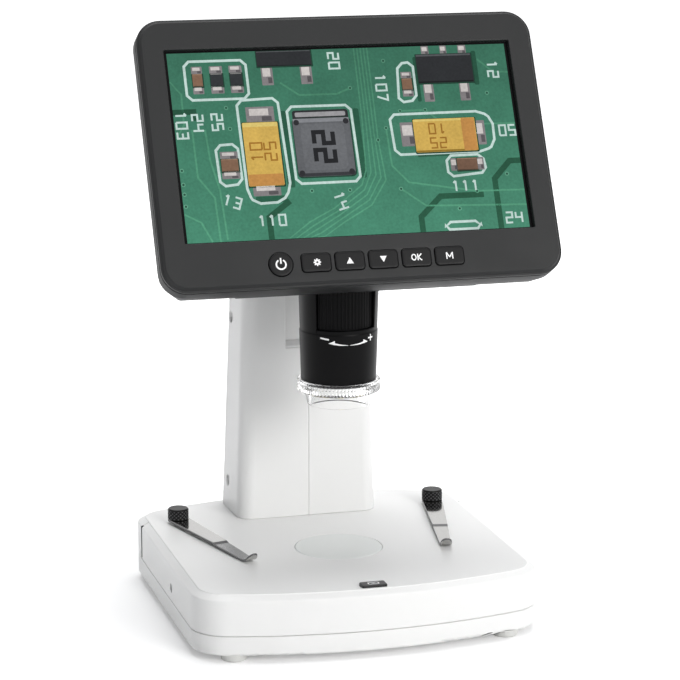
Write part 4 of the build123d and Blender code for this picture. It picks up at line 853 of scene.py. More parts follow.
white_ink = moulded("white_screen_print", "#F7F7F7", 0.45, 0.4, 0.002, mottle=0.01)
screen_front = on_screen([0, 0, -1.0]) - on_screen([0, 0, 0])
sign_depth = -0.515


def add_print(name, parts, body, way):
    """Sheets of white ink as one piece, with their faces turned towards a direction."""
    mesh = turned_towards(make_mesh(name, parts, closed=False), way)
    return add_piece(name, mesh, body, white_ink, weighted=False)


def print_sign(name, shapes, body):
    """Flat shapes (u, v) printed on a key, a hair in front of it."""
    return add_print(name, [(on_screen(level(points, sign_depth)), faces) for points, faces in shapes], body,
                     screen_front)


print_sign("power_sign", [ring_sector((power_u, key_v - 0.2), 1.75, 2.45, 118, 422),
                          stroke([(power_u, key_v + 0.1), (power_u, key_v + 2.7)], 0.68)], "power_key")
print_sign("settings_sign", [gear_sign(np.array([key_u[0] + 0.4, key_v]))], "settings_key")
print_sign("up_sign", [patch([(key_u[1] - 1.55, key_v - 1.3), (key_u[1] + 1.55, key_v - 1.3),
                              (key_u[1], key_v + 1.45)])], "up_key")
print_sign("down_sign", [patch([(key_u[2] - 1.55, key_v + 1.3), (key_u[2], key_v - 1.45),
                                (key_u[2] + 1.55, key_v + 1.3)])], "down_key")
a = np.linspace(0, 2 * np.pi, 40, endpoint=False)
letter_o = np.stack([key_u[3] - 1.25 + 0.95 * np.cos(a), key_v + 1.25 * np.sin(a)], -1)
print_sign("ok_sign", [stroke(letter_o, 0.48, closed=True),
                       stroke([(key_u[3] + 0.55, key_v - 1.5), (key_u[3] + 0.55, key_v + 1.5)], 0.5),
                       stroke([(key_u[3] + 2.25, key_v + 1.5), (key_u[3] + 0.75, key_v - 0.05),
                               (key_u[3] + 2.3, key_v - 1.5)], 0.5)], "ok_key")
menu_strokes = [[(-1.35, -1.5), (-1.35, 1.5)], [(1.35, -1.5), (1.35, 1.5)], [(-1.3, 1.35), (0, -0.75)],
                [(0, -0.75), (1.3, 1.35)]]
print_sign("menu_sign", [stroke(np.array(line) + (key_u[4], key_v), 0.5) for line in menu_strokes],
           "menu_key")
print("signs printed on the keys: power ring, gear, arrows, confirm and menu letters")

# %% [markdown]
# ## The picture on the screen
# The screen shows a magnified circuit board: green solder mask with faint tracks and vias, grey and yellow
# parts with bright metal ends, and pale printed outlines. Everything is flat, so it is drawn as flat
# shapes in layers, 0.006 mm apart, each with its own colour in a mesh attribute. The panel glows a little,
# as a backlit display does, and its glossy film adds a soft reflection.

# %% Colours and layers of the picture
picture_shapes = []
picture_depth, layer_gap, border_depth = 2.46, 0.006, 2.47
track_layer, silk_layer, part_layer = 2, 3, 5


def paint(shape, colour, layer):
    """Keep one flat shape: (points, faces), its colour and its layer."""
    picture_shapes.append((*shape, linear(colour)[:3], layer))


def box_patch(u0, u1, v0, v1, corner=0.0):
    """A rectangle between two u and two v values, with round corners if a corner radius is given."""
    if corner:
        return patch(rounded_box((u1 - u0) / 2, (v1 - v0) / 2, corner, ((u0 + u1) / 2, (v0 + v1) / 2), 5))
    return patch([(u0, v0), (u1, v0), (u1, v1), (u0, v1)])


def dot(u, v, radius):
    """A round spot."""
    return patch(circle(radius, (u, v), 20))


def via(u, v):
    """A plated hole through the board: a pale ring round a dark middle."""
    paint(dot(u, v, 0.95), "#6FB596", track_layer)
    paint(dot(u, v, 0.95 * 0.55), "#2C5B48", silk_layer)


def part_box(u0, u1, v0, v1, base, light, dark, layer, corner=0.3):
    """A component seen from above: body, a lit top edge and a shaded lower edge."""
    paint(box_patch(u0 - 0.35, u1 + 0.55, v0 - 0.65, v1 + 0.2, corner), "#1E4636", layer - 1)
    paint(box_patch(u0, u1, v0, v1, corner), base, layer)
    paint(box_patch(u0 + 0.25, u1 - 0.25, v1 - 0.07 * (v1 - v0), v1 - 0.15, 0.0), light, layer + 1)
    paint(box_patch(u0 + 0.2, u1 - 0.2, v0 + 0.1, v0 + 0.06 * (v1 - v0), 0.0), dark, layer + 1)


def metal_box(u0, u1, v0, v1):
    """Solder or a metal end: mid grey with one bright streak and one dark one."""
    paint(box_patch(u0, u1, v0, v1, 0.35), "#8C8789", part_layer)
    width, tall = u1 - u0, v1 - v0
    bright = box_patch(u0 + 0.12 * width, u1 - 0.2 * width, v0 + 0.45 * tall, v1 - 0.12 * tall, 0.2)
    dull = box_patch(u0 + 0.55 * width, u1 - 0.1 * width, v0 + 0.1 * tall, v0 + 0.4 * tall, 0.15)
    paint(bright, "#D8D2CF", part_layer + 1)
    paint(dull, "#5F5B5E", part_layer + 1)


def cut_corners(path):
    """A closed path with every corner cut: two points, each 2.2 mm from the corner along its sides."""
    path = np.array(path, float)
    back, ahead = np.roll(path, 1, 0) - path, np.roll(path, -1, 0) - path
    back /= np.linalg.norm(back, axis=1, keepdims=True)
    ahead /= np.linalg.norm(ahead, axis=1, keepdims=True)
    return np.stack([path + 2.2 * back, path + 2.2 * ahead], 1).reshape(-1, 2)


digit_lines = {"0": [[(0, 0), (1, 0), (1, 2), (0, 2), (0, 0)]],
               "1": [[(0.5, 0), (0.5, 2)], [(0.15, 1.6), (0.5, 2)]],
               "2": [[(0, 2), (1, 2), (1, 1), (0, 1), (0, 0), (1, 0)]],
               "3": [[(0, 2), (1, 2), (1, 0), (0, 0)], [(0.2, 1), (1, 1)]],
               "4": [[(0, 2), (0, 1), (1, 1)], [(1, 2), (1, 0)]],
               "5": [[(1, 2), (0, 2), (0, 1), (1, 1), (1, 0), (0, 0)]],
               "7": [[(0, 2), (1, 2), (0.4, 0)]]}


def number(text, u, v, tall, turn, colour, width, layer):
    """Plain printed digits, centred on (u, v) and turned by a whole number of degrees."""
    c, s = math.cos(math.radians(turn)), math.sin(math.radians(turn))
    for k, digit in enumerate(text):
        for line in digit_lines[digit]:
            flat = (np.array(line, float) - (0.5, 1.0)) * (0.6 * tall, 0.5 * tall)
            flat[:, 0] += (k - (len(text) - 1) / 2) * 0.95 * tall
            paint(stroke(flat @ np.array([[c, s], [-s, c]]) + (u, v), width), colour, layer)


silk, track, track_dark = "#CFE6E0", "#5DA886", "#2B6149"
half_u, half_v = 77.1, 42.95
bands = np.linspace(-half_v, half_v, 13)
for low, high in zip(bands[:-1], bands[1:]):
    paint(box_patch(-half_u, half_u, low, high), "#4C9176", 1)
print("picture area in mm:", 2 * half_u, "x", 2 * half_v)

# %% Tracks, vias and printed outlines
bundle_left = np.array([(7.1, 43), (7.1, 29), (6.9, 9.5), (5.7, -13.5), (3.1, -20.2), (-10.4, -30.1),
                        (-22.3, -35.9), (-32.1, -42.9)])
bundle_right = np.array([(13.2, 43), (13.2, 23.2), (13, 0), (14.2, -18.4), (6.4, -29.5), (-6.7, -36.6),
                         (-16.5, -42.9), (-19.5, -42.9)])
for share in np.linspace(0, 1, 5):
    paint(stroke(bundle_left * (1 - share) + bundle_right * share, 0.62), track, track_layer)
wide_tracks = [[(-69.5, 7.9), (-69.3, -13.8), (-62.9, -23.1), (-62.5, -42.9)],
               [(-63.8, 7.7), (-63.1, -6), (-60.3, -19.6), (-59.3, -42.1)],
               [(17.3, 5.4), (17.8, -12), (24.5, -20), (55.1, -25.3), (77.1, -25.6)],
               [(20.5, -22.8), (31, -31), (77.1, -32.5)], [(24.7, 13), (36.3, 13.1), (44, 6), (77.1, 5.4)],
               [(63.5, 36), (70, 30), (77.1, 29.5)], [(-77.1, 30), (-72.5, 24), (-72.8, 10), (-77.1, 4)],
               [(-28, 28), (-20, 22), (-3, 22), (3.3, 24.5)], [(-77.1, -30), (-70, -34), (-66, -42.9)]]
for path in wide_tracks:
    paint(stroke(path, 0.8), track, track_layer)
for path in ([(-40, -42.9), (-40, -33), (-30, -26)], [(28, -42.9), (28, -36), (38, -27), (58, -27)],
             [(-77.1, 16), (-68, 16), (-68, 12)], [(64, -42.9), (64, -20), (72, -12), (77.1, -12)]):
    paint(stroke(path, 2.6), track_dark, track_layer)
for u, v in [(20, 36.6), (3.3, 24.5), (24.7, 13), (36.3, 13.1), (17.3, 5.4), (13, 0), (-52.7, 7.7),
             (-53.4, 17.3), (-76, -10.4), (-76, -16.7), (-76, -21.1), (-76, -26.5), (-2.6, -22.3),
             (-19.7, -21.9), (20.5, -22.8), (55.1, -25.3), (70, -18), (46, -33), (-24, 37), (66, 20)]:
    via(u, v)
outlines = [
    [(-70, 39), (-42.5, 39), (-42.5, 21.3), (-70, 21.3)],
    [(-48.6, 20.4), (-30.2, 21.1), (-28.9, -20.2), (-33.2, -26.3), (-45.2, -26.7), (-48.2, -22)],
    [(-26.6, 16.8), (2.3, 16.7), (2.9, -18.4), (-26, -18.5)],
    [(-60.2, 0.3), (-50.4, 0.8), (-49.9, -17.4), (-59.7, -18.3)],
    [(26.2, 35), (33.3, 35.7), (33.2, 17.8), (24.8, 16.8)],
    [(19.5, 11.4), (61.6, 11.6), (66.7, 7.7), (66.4, -4), (61.4, -7.1), (20.2, -7.2)],
    [(43, -8.6), (59.8, -8.4), (60.9, -16.8), (43.1, -18.3)],
    [(38.8, -39), (54.6, -39), (55.4, -42.4), (38, -42.4)]]
for path in outlines:
    paint(stroke(cut_corners(path), 1.15, closed=True), silk, silk_layer)
for text, u, v, turn in (("103", -73.8, 10, -90), ("24", -66.6, 11, -90), ("25", -58.0, 11, -90),
                         ("20", -2.6, 37.4, -90), ("12", 70.2, 31, -90), ("107", 17.6, 24.2, -90),
                         ("111", 50.2, -22.6, 0), ("05", 73.0, 2.2, 0), ("110", -38.8, -34.4, 0),
                         ("14", -7.2, -27.0, -75), ("13", -55.4, -25.2, -20), ("24", 70.5, -38.2, 0)):
    number(text, u, v, 4.7, turn, silk, 0.85, silk_layer)
for u0, u1, v0, v1 in ((-30.2, -26.8, -20, 15), (3.2, 5.8, -17, 15), (33.6, 35.4, 17, 38),
                       (60.9, 63.2, 24, 40), (-45, -31, -26.4, -23.4), (30, 58, -8.6, -6.4)):
    paint(box_patch(u0, u1, v0, v1, 0.8), "#2F6A52", track_layer)
print("tracks, vias and", len(outlines), "printed outlines")

# %% Components in the picture
brown, black_chip = "#8A6A55", "#35383B"
coil_shades, amber_shades = ("#2F3134", "#5A5D60", "#191B1D"), ("#DDB75C", "#EBD27A", "#9C7A2B")
for (u0, u1, v0, v1), body in (((-66.8, -62.4, 24, 36.6), brown), ((-58.8, -53.4, 24, 36.6), black_chip),
                               ((-50.1, -44.7, 24, 36.6), black_chip), ((-58.4, -50.9, -15, -2.6), brown),
                               ((27.3, 31.9, 19.6, 31.1), brown)):
    third = (v1 - v0) * 0.27
    metal_box(u0 - 0.2, u1 + 0.2, v1 - third, v1)
    metal_box(u0 - 0.2, u1 + 0.2, v0, v0 + third)
    lit = "#9C9A98" if body == black_chip else "#A98A72"
    part_box(u0, u1, v0 + third, v1 - third, body, lit, "#1F2223", 6)
metal_box(44.6, 47.8, -15.6, -9.8)
metal_box(56.8, 60.0, -15.6, -9.8)
part_box(47.6, 57.0, -15.5, -9.9, "#7C5F4D", "#A98A72", "#3B2C24", 6)
for u0, u1, v0, v1 in ((-36, -30.8, 27, 36), (-18.4, -13.1, 27, 36), (36.8, 41.5, 16.8, 26),
                       (53.5, 58.3, 16.8, 26), (38, 41.5, 38.6, 42.9), (46.7, 49.8, 38.6, 42.9),
                       (55.1, 58.9, 38.6, 42.9)):
    metal_box(u0, u1, v0, v1)
part_box(-37.4, -12.7, 35.7, 42.8, *coil_shades, 7)
part_box(35.1, 60.8, 25.5, 39, *coil_shades, 7)
metal_box(-45, -32.4, 10.0, 17.3)
metal_box(-45.7, -33.4, -23.3, -18.0)
part_box(-47.3, -31.4, -18.8, 10.2, *amber_shades, 7, 0.6)
paint(box_patch(-47.1, -31.6, -18.6, -13.4, 0.5), "#CC934F", 9)
metal_box(23.7, 30.5, -3.5, 7.6)
metal_box(57.6, 62.7, -4, 7.3)
part_box(29.8, 58.4, -6.6, 8.8, *amber_shades, 7, 0.6)
paint(box_patch(52, 58.2, -6.4, 8.6, 0.5), "#CC934F", 9)
paint(box_patch(-24.4, 0.8, -15.2, 14.9, 1.2), "#2E3033", 5)
paint(box_patch(-23.2, -0.4, 11.9, 14.0, 0.6), "#A6A5A8", 6)
part_box(-24.7, 1.1, -15.5, 11.2, "#67696D", "#8D8F94", "#3A3B3F", 6, 2.2)
for du, dv in ((-1, -1), (1, -1), (1, 1), (-1, 1)):
    paint(dot(-11.8 + du * 11.2, -2.2 + dv * 11.6, 1.3), "#2F2F33", 8)
paint(box_patch(-21.5, -1.8, -12.6, 8.6, 2.6), "#6F7175", 8)
number("22", -11.6, -2.0, 8.6, -90, "#232427", 2.0, 9)
number("10", -42.2, -3.2, 5.2, 90, "#A8762C", 0.75, 10)
number("25", -36.0, -3.2, 5.2, 90, "#A8762C", 0.75, 10)
number("10", 40.5, 4.2, 4.6, 180, "#A8762C", 0.7, 10)
number("25", 40.5, -2.4, 4.6, 180, "#A8762C", 0.7, 10)
print("shapes in the picture:", len(picture_shapes))

# %% One mesh for the whole picture
def display_material():
    """Backlit picture under a glossy film: light from the colour attribute, with fine noise over it."""
    material, tree, out = new_material("backlit_display_film")
    colour = add_node(tree, "ShaderNodeAttribute", attribute_name="picture_colour")
    place = add_node(tree, "ShaderNodeTexCoord")
    cloud = add_node(tree, "ShaderNodeTexNoise", {"Vector": (place, "Object")}, Scale=70.0, Detail=4.0)
    grit = add_node(tree, "ShaderNodeTexNoise", {"Vector": (place, "Object")}, Scale=900.0, Detail=2.0)
    both = add_node(tree, "ShaderNodeMath", {0: (cloud, "Fac"), 1: (grit, "Fac")}, operation="ADD")
    spread = add_node(tree, "ShaderNodeMapRange", {"Value": (both, 0), 1: 0.6, 2: 1.4, 3: 0.80, 4: 1.16})
    shaded = add_node(tree, "ShaderNodeVectorMath", {0: (colour, "Color"), "Scale": (spread, 0)},
                      operation="SCALE")
    film = add_node(tree, "ShaderNodeBsdfPrincipled", {"Emission Color": (shaded, 0)}, Roughness=0.16,
                    Base_Color=linear("#050505"), Emission_Strength=0.86, Specular_IOR_Level=0.08)
    tree.links.new(film.outputs[0], out.inputs[0])
    return material


def picture_mesh():
    """The black border and then every flat shape, each in its layer in front of the last and with its colour.

    Layers 1 and 2, the board and its tracks, darken by 36 % from the foot of the picture to its top.
    """
    border = [(-78.6, -43.75), (78.6, -43.75), (78.6, 43.75), (-78.6, 43.75)]
    points, faces = [on_screen(level(border, border_depth))], [[0, 1, 2, 3]]
    colours = [np.tile(linear("#0A0A0B")[:3], (4, 1))]
    start = 4
    for flat, shape_faces, colour, layer in picture_shapes:
        flat = np.clip(flat, (-half_u, -half_v), (half_u, half_v))
        points.append(on_screen(level(flat, picture_depth - layer_gap * layer)))
        faces += [[start + int(k) for k in face] for face in shape_faces]
        fade = np.ones((len(flat), 1))
        if layer <= track_layer:
            fade = 1.0 - 0.36 * (flat[:, 1:] + half_v) / (2 * half_v)
        colours.append(np.asarray(colour) * fade)
        start += len(flat)
    mesh = bpy.data.meshes.new("screen_picture")
    mesh.from_pydata(np.concatenate(points) / 1000, [], faces)
    tints = mesh.color_attributes.new("picture_colour", "FLOAT_COLOR", "POINT")
    rgba = np.concatenate([np.concatenate(colours), np.ones((start, 1))], -1)
    tints.data.foreach_set("color", rgba.astype(np.float32).ravel())
    return turned_towards(mesh, screen_front)


picture = add_piece("screen_picture", picture_mesh(), "screen", display_material(),
                    weighted=False)
print("picture:", len(picture.data.polygons), "faces")

# %% [markdown]
# ## The camera barrel
# The barrel is a slightly conical black tube. In front it is cut away, so that a finger can turn the
# ribbed focus ring inside, and a fine step runs round it just below that opening. It is a grid of angle
# against height: columns are placed exactly on the sides of the opening and rows on its ends, the quads
# between them are dropped, and the cut edge is closed by a strip from the outer to the inner surface.

# %% Barrel with its finger opening
barrel_centre = np.array([0.0, -14.0])
barrel_low, barrel_high = 108.2, 157.0
opening_low, opening_high, opening_half = 134.6, 153.2, 50.0
wall_radius = 16.3


def barrel_radius(z):
    """The cone: 16.95 mm at the low end, 18.55 mm at the top."""
    return 16.95 + (18.55 - 16.95) * (z - barrel_low) / (barrel_high - barrel_low)


def barrel_rows():
    """(radius, height) from the low inner edge, up outside with a step at 133 mm, over the top and down."""
    outer_z = np.array([108.7, 116, 125, 132.2, 132.5, 132.7, 133.0, opening_low - 0.25, opening_low,
                        opening_low + 0.25, 140, 147, opening_high - 0.25, opening_high, opening_high + 0.25,
                        156.2])
    step = np.interp(outer_z, [132.2, 133.0], [0.0, 0.28])
    outer = np.stack([barrel_radius(outer_z) - step, outer_z], -1)
    low = [(15.2, 112.0), (15.2, 108.35), (15.35, 108.2), (16.4, 108.2), (16.75, 108.32)]
    top = [(barrel_radius(156.6) - 0.5, 156.8), (barrel_radius(157) - 0.9, 157.0), (8.0, 157.0), (8.0, 154.0),
           (17.06, 154.0)]
    inner_z = outer_z[outer_z >= opening_low - 0.3][::-1][1:]
    inner = np.stack([np.interp(inner_z, [134.0, 154], [16.55, 17.0]), inner_z], -1)
    return np.concatenate([low, outer, top, inner, [(16.5, 134.2), (14.2, 134.2), (14.2, 112.0)]])


profile = barrel_rows()
half = np.radians(opening_half)
front_angles = np.linspace(-half + 0.03, half - 0.03, 44)[1:-1]
back_angles = np.linspace(half + 0.05, 2 * np.pi - half - 0.05, 116)
angles = np.r_[-half - 0.015, -half, -half + 0.015, front_angles, half - 0.015, half, half + 0.015,
               back_angles] - np.pi / 2
radius = np.repeat(profile[:, :1], len(angles), 1)
z = np.repeat(profile[:, 1:], len(angles), 1)
points = np.stack([radius * np.cos(angles), barrel_centre[1] + radius * np.sin(angles), z], -1)
faces = grid_faces(len(profile), len(angles), wrap_rows=True)
row, column = faces[:, 0] // len(angles), faces[:, 0] % len(angles)
next_row, next_angle = (row + 1) % len(profile), np.r_[angles[1:], angles[0] + 2 * np.pi][column]
middle_z = (profile[row, 1] + profile[next_row, 1]) / 2
mean_angle = (angles[column] + next_angle) / 2 + np.pi / 2
is_wall = (row >= 4) & (profile[row, 0] > wall_radius) & (profile[next_row, 0] > wall_radius)
gone = is_wall & (middle_z > opening_low) & (middle_z < opening_high) & (abs(mean_angle) < half)
print("barrel quads:", len(faces), "of which the opening drops", int(gone.sum()))

# %% Close the cut edge
def opening_rim(row_outer, row_inner, columns):
    """Quads that join an outer row to the inner row of the same height, along the given columns."""
    span = np.stack([points[row_outer, columns], points[row_inner, columns]])
    return span, grid_faces(2, len(columns), wrap_columns=False)


def rows_at(height):
    """The outer and the inner row of the wall at a height."""
    hits = [k for k, (r, z) in enumerate(profile) if abs(z - height) < 1e-6 and r > wall_radius]
    return hits[0], hits[-1]


columns_in = [k for k, a in enumerate(angles + np.pi / 2) if abs(a) <= half + 1e-9]
rims = [opening_rim(*rows_at(opening_low), columns_in), opening_rim(*rows_at(opening_high), columns_in)]
heights = sorted({round(h, 6) for h in profile[:, 1] if opening_low <= h <= opening_high})
heights = [h for h in heights if len(set(rows_at(h))) == 2]
for edge in (columns_in[0], columns_in[-1]):
    upright = np.stack([[points[rows_at(h)[side], edge] for h in heights] for side in (0, 1)])
    rims.append((upright, grid_faces(2, len(heights), wrap_columns=False)))
barrel_mesh = make_mesh("camera_barrel", [(points, faces[~gone])] + rims)
barrel = add_piece("camera_barrel", barrel_mesh, "head", barrel_abs, ("barrel_housing",))
round_edges(barrel, 0.25, 50)
print("barrel:", len(barrel_mesh.polygons), "faces, opening rims:", len(rims))

# %% [markdown]
# The white legend below the opening tells which way to turn: a minus, two arrows that taper towards the
# middle, and a plus. It is printed on the curved barrel, so its flat drawing is bent round the axis: the
# drawing's x becomes an angle, x divided by the radius, and its y stays a height.

# %% Focus legend
def wrapped(flat):
    """(x, z) drawing to barrel: r sin(x / 17.6), centre - r cos(x / 17.6), z, 0.06 mm above the surface."""
    r = barrel_radius(flat[:, 1]) + 0.06
    turn = flat[:, 0] / 17.6
    return np.stack([r * np.sin(turn), barrel_centre[1] - r * np.cos(turn), flat[:, 1]], -1)


def between(first, second):
    """A strip of quads between two equal lines of points."""
    return np.concatenate([first, second]), grid_faces(2, len(first), wrap_columns=False)


def tapered_arrow(x_thin, x_base, x_tip, z):
    """A shaft that widens from a point and rises a little, then a triangular head that ends in a tip."""
    x = np.linspace(x_thin, x_base, 14)
    grow = np.abs(x - x_thin) / abs(x_base - x_thin)
    middle, half = z + 0.7 * grow**2, 0.08 + 0.34 * grow
    shaft = between(np.stack([x, middle + half], -1), np.stack([x, middle - half], -1))
    head = between(np.linspace((x_base, z + 2.1), (x_tip, z + 0.85), 6),
                   np.linspace((x_base, z + 0.2), (x_tip, z + 0.75), 6))
    return shaft, head


minus = stroke(np.linspace((-13.1, 131.4), (-9.0, 130.8), 6), 0.75)
legend = [minus, *tapered_arrow(-0.4, -6.4, -9.2, 128.3), *tapered_arrow(0.5, 7.1, 9.7, 128.3)]
legend += [stroke(np.linspace((10.0, 130.6), (13.2, 130.6), 6), 0.7),
           stroke([(11.6, 129.1), (11.6, 132.1)], 0.6)]
add_print("focus_legend", [(wrapped(flat), shape_faces) for flat, shape_faces in legend], "head", (0, -1, 0))
print("legend shapes:", len(legend))

# %% [markdown]
# ## Clear cap
# The cap is turned in one closed profile: a tapered skirt, a wide collar with two rows of knurling that
# give grip, and a socket that plugs into the barrel. A knurl is a small wave in the radius. With 72 teeth
# round the collar each tooth is 1.7 mm wide, and a tooth needs five columns, so the circle gets 360.

# %% Knurled clear cap
cap_outline = [(12.4, 97.9), (13.6, 97.9), (14.15, 98.15), (14.35, 98.7), (15.45, 103.95), (15.8, 104.2),
               (17.9, 104.2), (18.5, 104.5), (18.85, 104.85), (18.95, 105.2), (18.95, 106.5), (18.5, 106.8),
               (18.5, 107.3), (18.95, 107.6), (18.95, 109.1), (18.7, 109.55), (18.3, 109.8), (17.45, 109.8),
               (17.28, 109.6), (17.28, 108.1), (14.9, 108.1), (14.9, 109.2), (14.8, 109.3), (12.5, 109.3),
               (12.4, 109.2)]
grip = np.zeros((len(cap_outline), 1))
grip[[9, 10, 13, 14]] = 1.0


def knurl(a, row):
    """72 teeth, cut up to 0.5 mm deep into the two bands of the collar."""
    return -0.5 * grip[row, 0] * (0.5 + 0.5 * np.cos(72 * a)) ** 0.7


cap_mesh = make_mesh("clear_cap_turned", [revolved(cap_outline, barrel_centre, 360, relief=knurl)])
add_piece("clear_cap_turned", cap_mesh, "lens_cap", clear_acrylic, ("clear_cap",), sharp=25,
          weighted=False)
print("clear cap:", len(cap_mesh.polygons), "faces")

# %% [markdown]
# ## Stage clips
# Each clip is a strip of polished spring steel under a black knurled screw. The strip's edges are sheared,
# so they are duller than its faces, which reflect like mirrors; they and the kink are also painted darker,
# a painted shade. The screw's grip is a diamond knurl: two sets of spiral grooves that cross, a wave in
# angle plus height and another in angle minus height. Real grooves this size are about 0.8 mm apart; here
# they are 1.9 mm apart, because finer ones blur away at this distance.

# %% Knurled clip screws
clip_pivot = (62.7, 42.8)
knob_columns = 204
knob_rows = np.r_[np.arange(32.75, 36.9, 0.22), 36.95]
knob_profile = np.concatenate([
    [(0.0, 24.2), (2.0, 24.2), (2.0, 32.4), (4.55, 32.4)],
    np.stack([np.full(len(knob_rows), 4.9), knob_rows], -1),
    [(4.75, 37.3), (4.35, 37.6), (0.9, 37.62), (0.0, 37.6)]])
knurled = np.zeros(len(knob_profile))
knurled[4:-4] = np.minimum(1, np.minimum(np.arange(len(knob_rows)), np.arange(len(knob_rows))[::-1]) / 1.5)


def knurl_wave(a, z):
    """The lower of |sin(8 a + 1.8 z)| and |sin(8 a - 1.8 z)|: 0 along two sets of spirals, high between."""
    return np.minimum(abs(np.sin(8 * a + 1.8 * z)), abs(np.sin(8 * a - 1.8 * z)))


def diamonds(a, row):
    """Grooves 0.45 mm deep along the spirals."""
    wave = knurl_wave(a, knob_profile[row, 1])
    return -0.45 * knurled[row] * (1 - np.clip(wave * 1.6, 0, 1))


def mark_crests(mesh, centre):
    """Attribute crest: 1 on the tops of the diamonds, where both spiral waves are high, else 0."""
    x, y, z = read_vectors(mesh.vertices, "co").T * 1000
    a = np.arctan2(y - centre[1], x - centre[0])
    wave = knurl_wave(a, z)
    grip_area = (np.hypot(x - centre[0], y - centre[1]) > 4.6) & (z > 32.9) & (z < 36.8)
    crest = np.clip((wave - 0.6) / 0.2, 0, 1) * grip_area
    mesh.attributes.new("crest", "FLOAT", "POINT").data.foreach_set("value", crest.astype(np.float32))


# The tops of the diamonds are painted paler than the grooves: a painted highlight on the knurl.
tree = knurl_nylon.node_tree
skin = next(node for node in tree.nodes if node.type == "BSDF_PRINCIPLED")
crest = add_node(tree, "ShaderNodeAttribute", attribute_name="crest")
crest_highlight = add_node(tree, "ShaderNodeMix", {0: (crest, "Fac"), 7: linear("#565658")}, data_type="RGBA")
tree.links.new(skin.inputs["Base Color"].links[0].from_socket, crest_highlight.inputs[6])
tree.links.new(crest_highlight.outputs[2], skin.inputs["Base Color"])

for side, label in ((-1, "left"), (1, "right")):
    axis = (side * clip_pivot[0], clip_pivot[1])
    turned = revolved(knob_profile, axis, knob_columns, relief=diamonds, closed=False)
    knob_mesh = make_mesh(f"{label}_clip_screw_knurled", [turned])
    mark_crests(knob_mesh, axis)
    add_piece(f"{label}_clip_screw_knurled", knob_mesh, f"{label}_clip_screw", knurl_nylon,
              (f"clip_knob_{label}",), weighted=False)
print("clip screws:", len(knob_mesh.polygons), "faces each")

# %% Clip leaves
def clip_leaf(side, turn):
    """A strip 1 mm thick along s from the pivot; its half width and its top height are functions of s.

    A point is pivot + s (sin t, -cos t) + w (cos t, sin t), at height top(s) or top(s) - 1. The half width is
    a circle of 4.9 mm behind the pivot, then tapers to 2.6 mm at s = 72, and ends in an ellipse.
    """
    line = soft_profile([(-4.9, 32.4), (43.4, 32.4), (45.4, 31.85), (58, 31.7), (70, 31.35), (73.6, 32.5),
                         (77, 35.7)], [0, 0.7, 0.9, 4.0, 2.4, 1.6, 0], False)
    s = np.unique(np.concatenate([np.linspace(-4.9, 0, 9), line[:, 0], np.linspace(4, 40, 7),
                                  np.linspace(74, 77, 9)]))
    top = np.interp(s, line[:, 0], line[:, 1])
    half = np.where(s < 0, np.sqrt(np.maximum(4.9**2 - s**2, 0.2)), np.interp(s, [0, 72], [4.9, 2.6]))
    half = np.where(s > 74.2, np.sqrt(np.maximum(1 - ((s - 74.2) / 2.85) ** 2, 0.04)) * 2.6, half)
    t = math.radians(turn)
    w = half[:, None] * [-1, 1, 1, -1]
    z = top[:, None] - [0, 0, 1.0, 1.0]
    x = side * clip_pivot[0] + s[:, None] * math.sin(t) + w * math.cos(t)
    y = clip_pivot[1] - s[:, None] * math.cos(t) + w * math.sin(t)
    return lofted(np.stack([x, y, z], -1))


for side, label, turn in ((-1, "left", 14.0), (1, "right", -12.4)):
    leaf_mesh = make_mesh(f"{label}_clip_leaf", clip_leaf(side, turn))
    leaf = add_piece(f"{label}_clip_leaf", leaf_mesh, f"{label}_clip", spring_steel,
                     (f"clip_leaf_{label}",), sharp=28.0)
    normals, centres = (read_vectors(leaf_mesh.polygons, name) for name in ("normal", "center"))
    along = np.hypot(centres[:, 0] * 1000 - side * clip_pivot[0], centres[:, 1] * 1000 - clip_pivot[1])
    for extra in (sheared_and_shaded_steel, darker_rough_steel):
        leaf_mesh.materials.append(extra)
    # Between 45 and 71.5 mm from the pivot the left leaf alone takes a darker, rougher steel.
    left_leaf_darker_span = (along > 45) & (along < 71.5) & (side < 0)
    # Edges and the kink take the darker sheared steel: duller as sheared steel is, and darker as a painted
    # shade.
    kink = (along > 42.9) & (along < 45.2)
    finish = np.where((abs(normals[:, 2]) < 0.35) | kink, 1, np.where(left_leaf_darker_span, 2, 0))
    leaf_mesh.polygons.foreach_set("material_index", finish.astype(np.int32))
    round_edges(leaf, 0.12, 50)
print("clip leaves:", len(leaf_mesh.polygons), "faces each")

# %% [markdown]
# ## Lamp switch, window and the rest
# The lamp switch is a small black rocker with a white mark. The frosted window lies flush in the stage.
# The arm, its cover, the hinge and the focus knobs keep the maker's shape with softened edges.

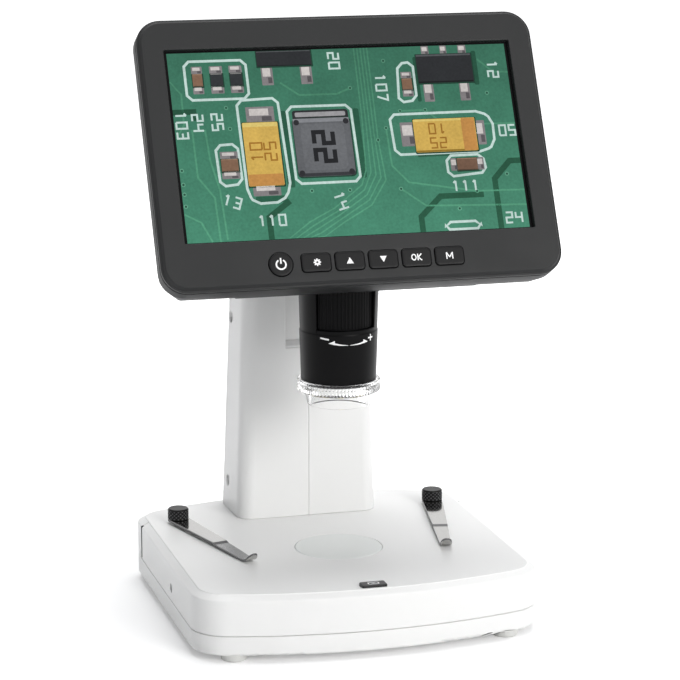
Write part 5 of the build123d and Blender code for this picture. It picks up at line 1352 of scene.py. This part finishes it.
# %% Switch mark and softened parts
softened("light_switch_key", black_abs, 0.15)
mark = [stroke(rounded_box(2.3, 1.15, 0.5, switch_centre, 5), 0.55, closed=True),
        stroke([(-1.9, -75.0), (-0.5, -75.0)], 0.5)]
mark_height = 31.315
add_print("lamp_switch_mark", [(level(flat, mark_height), shape_faces) for flat, shape_faces in mark],
          "light_switch", (0, 0, 1))
for node, material, slot, width in (("stage_window", frosted, "frosted_plastic", 0.15),
                                    ("head_arm", black_abs, "black_matt", 0.5),
                                    ("head_cover", black_abs, "black_matt", 0.4),
                                    ("coarse_knob_left", knob_plastic, "black_matt", 0.25),
                                    ("coarse_knob_right", knob_plastic, "black_matt", 0.25),
                                    ("hinge_bracket", black_steel, "steel_bright", 0.3)):
    softened(node, material, width)

# %% [markdown]
# ## Parts that keep their moulded or machined shape
# Many parts are right as the maker drew them, down to the screws. They only need a finish, and each takes
# the one of its real material. A part's mesh isn't touched: only its material changes.

# %% Finishes for the parts that stay as they are
finish_of = {
    white_pom: ["slot_plate"],
    dark_abs: ["lcd_front_bezel"],
    shell_abs: ["lcd_rear_shell"],
    black_abs: ["barrel_housing", "head_arm", "head_cover", "led_ring_board", "lens_tube", "power_socket",
                "lcd_sockets", "lcd_panel", "hinge_washers", "shaft_bushes", "light_switch_key"],
    white_abs: ["base_upper_shell", "base_lower_tray", "column_left_shell", "column_right_shell"],
    key_plastic: ["key_power", "key_settings", "key_up", "key_down", "key_ok", "key_menu"],
    knob_plastic: ["coarse_knob_left", "coarse_knob_right", "clip_knob_left", "clip_knob_right"],
    ring_plastic: ["focus_ring"],
    foot_rubber: ["rubber_feet"],
    spring_steel: ["clip_leaf_left", "clip_leaf_right"],
    zinc_steel: ["base_screws", "column_side_screws", "column_foot_screws", "head_screws", "lcd_screws"],
    ground_steel: ["guide_rods", "focus_shaft"],
    black_steel: ["ballast_plate", "hinge_bracket", "hinge_pin"],
    turned_brass: ["clip_inserts", "carriage_bushes", "focus_pinion"],
    black_alloy: ["lens_retainer"],
    cast_alloy: ["guide_brackets", "carriage", "focus_rack"],
    green_board: ["base_board", "stage_led_board", "sensor_board", "lcd_main_board", "key_board"],
    clear_acrylic: ["clear_cap"],
    coated_glass: ["objective_lenses"],
    frosted: ["stage_window"],
    phosphor: ["ring_leds"],
    foil: ["lcd_battery"],
}
for finish, names in finish_of.items():
    for name in names:
        parts = frame["nodes"][name].data.materials
        parts.clear()
        parts.append(finish)
finished = {name for names in finish_of.values() for name in names}
print("finished:", len(finished), "left over:", sorted(set(frame["nodes"]) - finished))
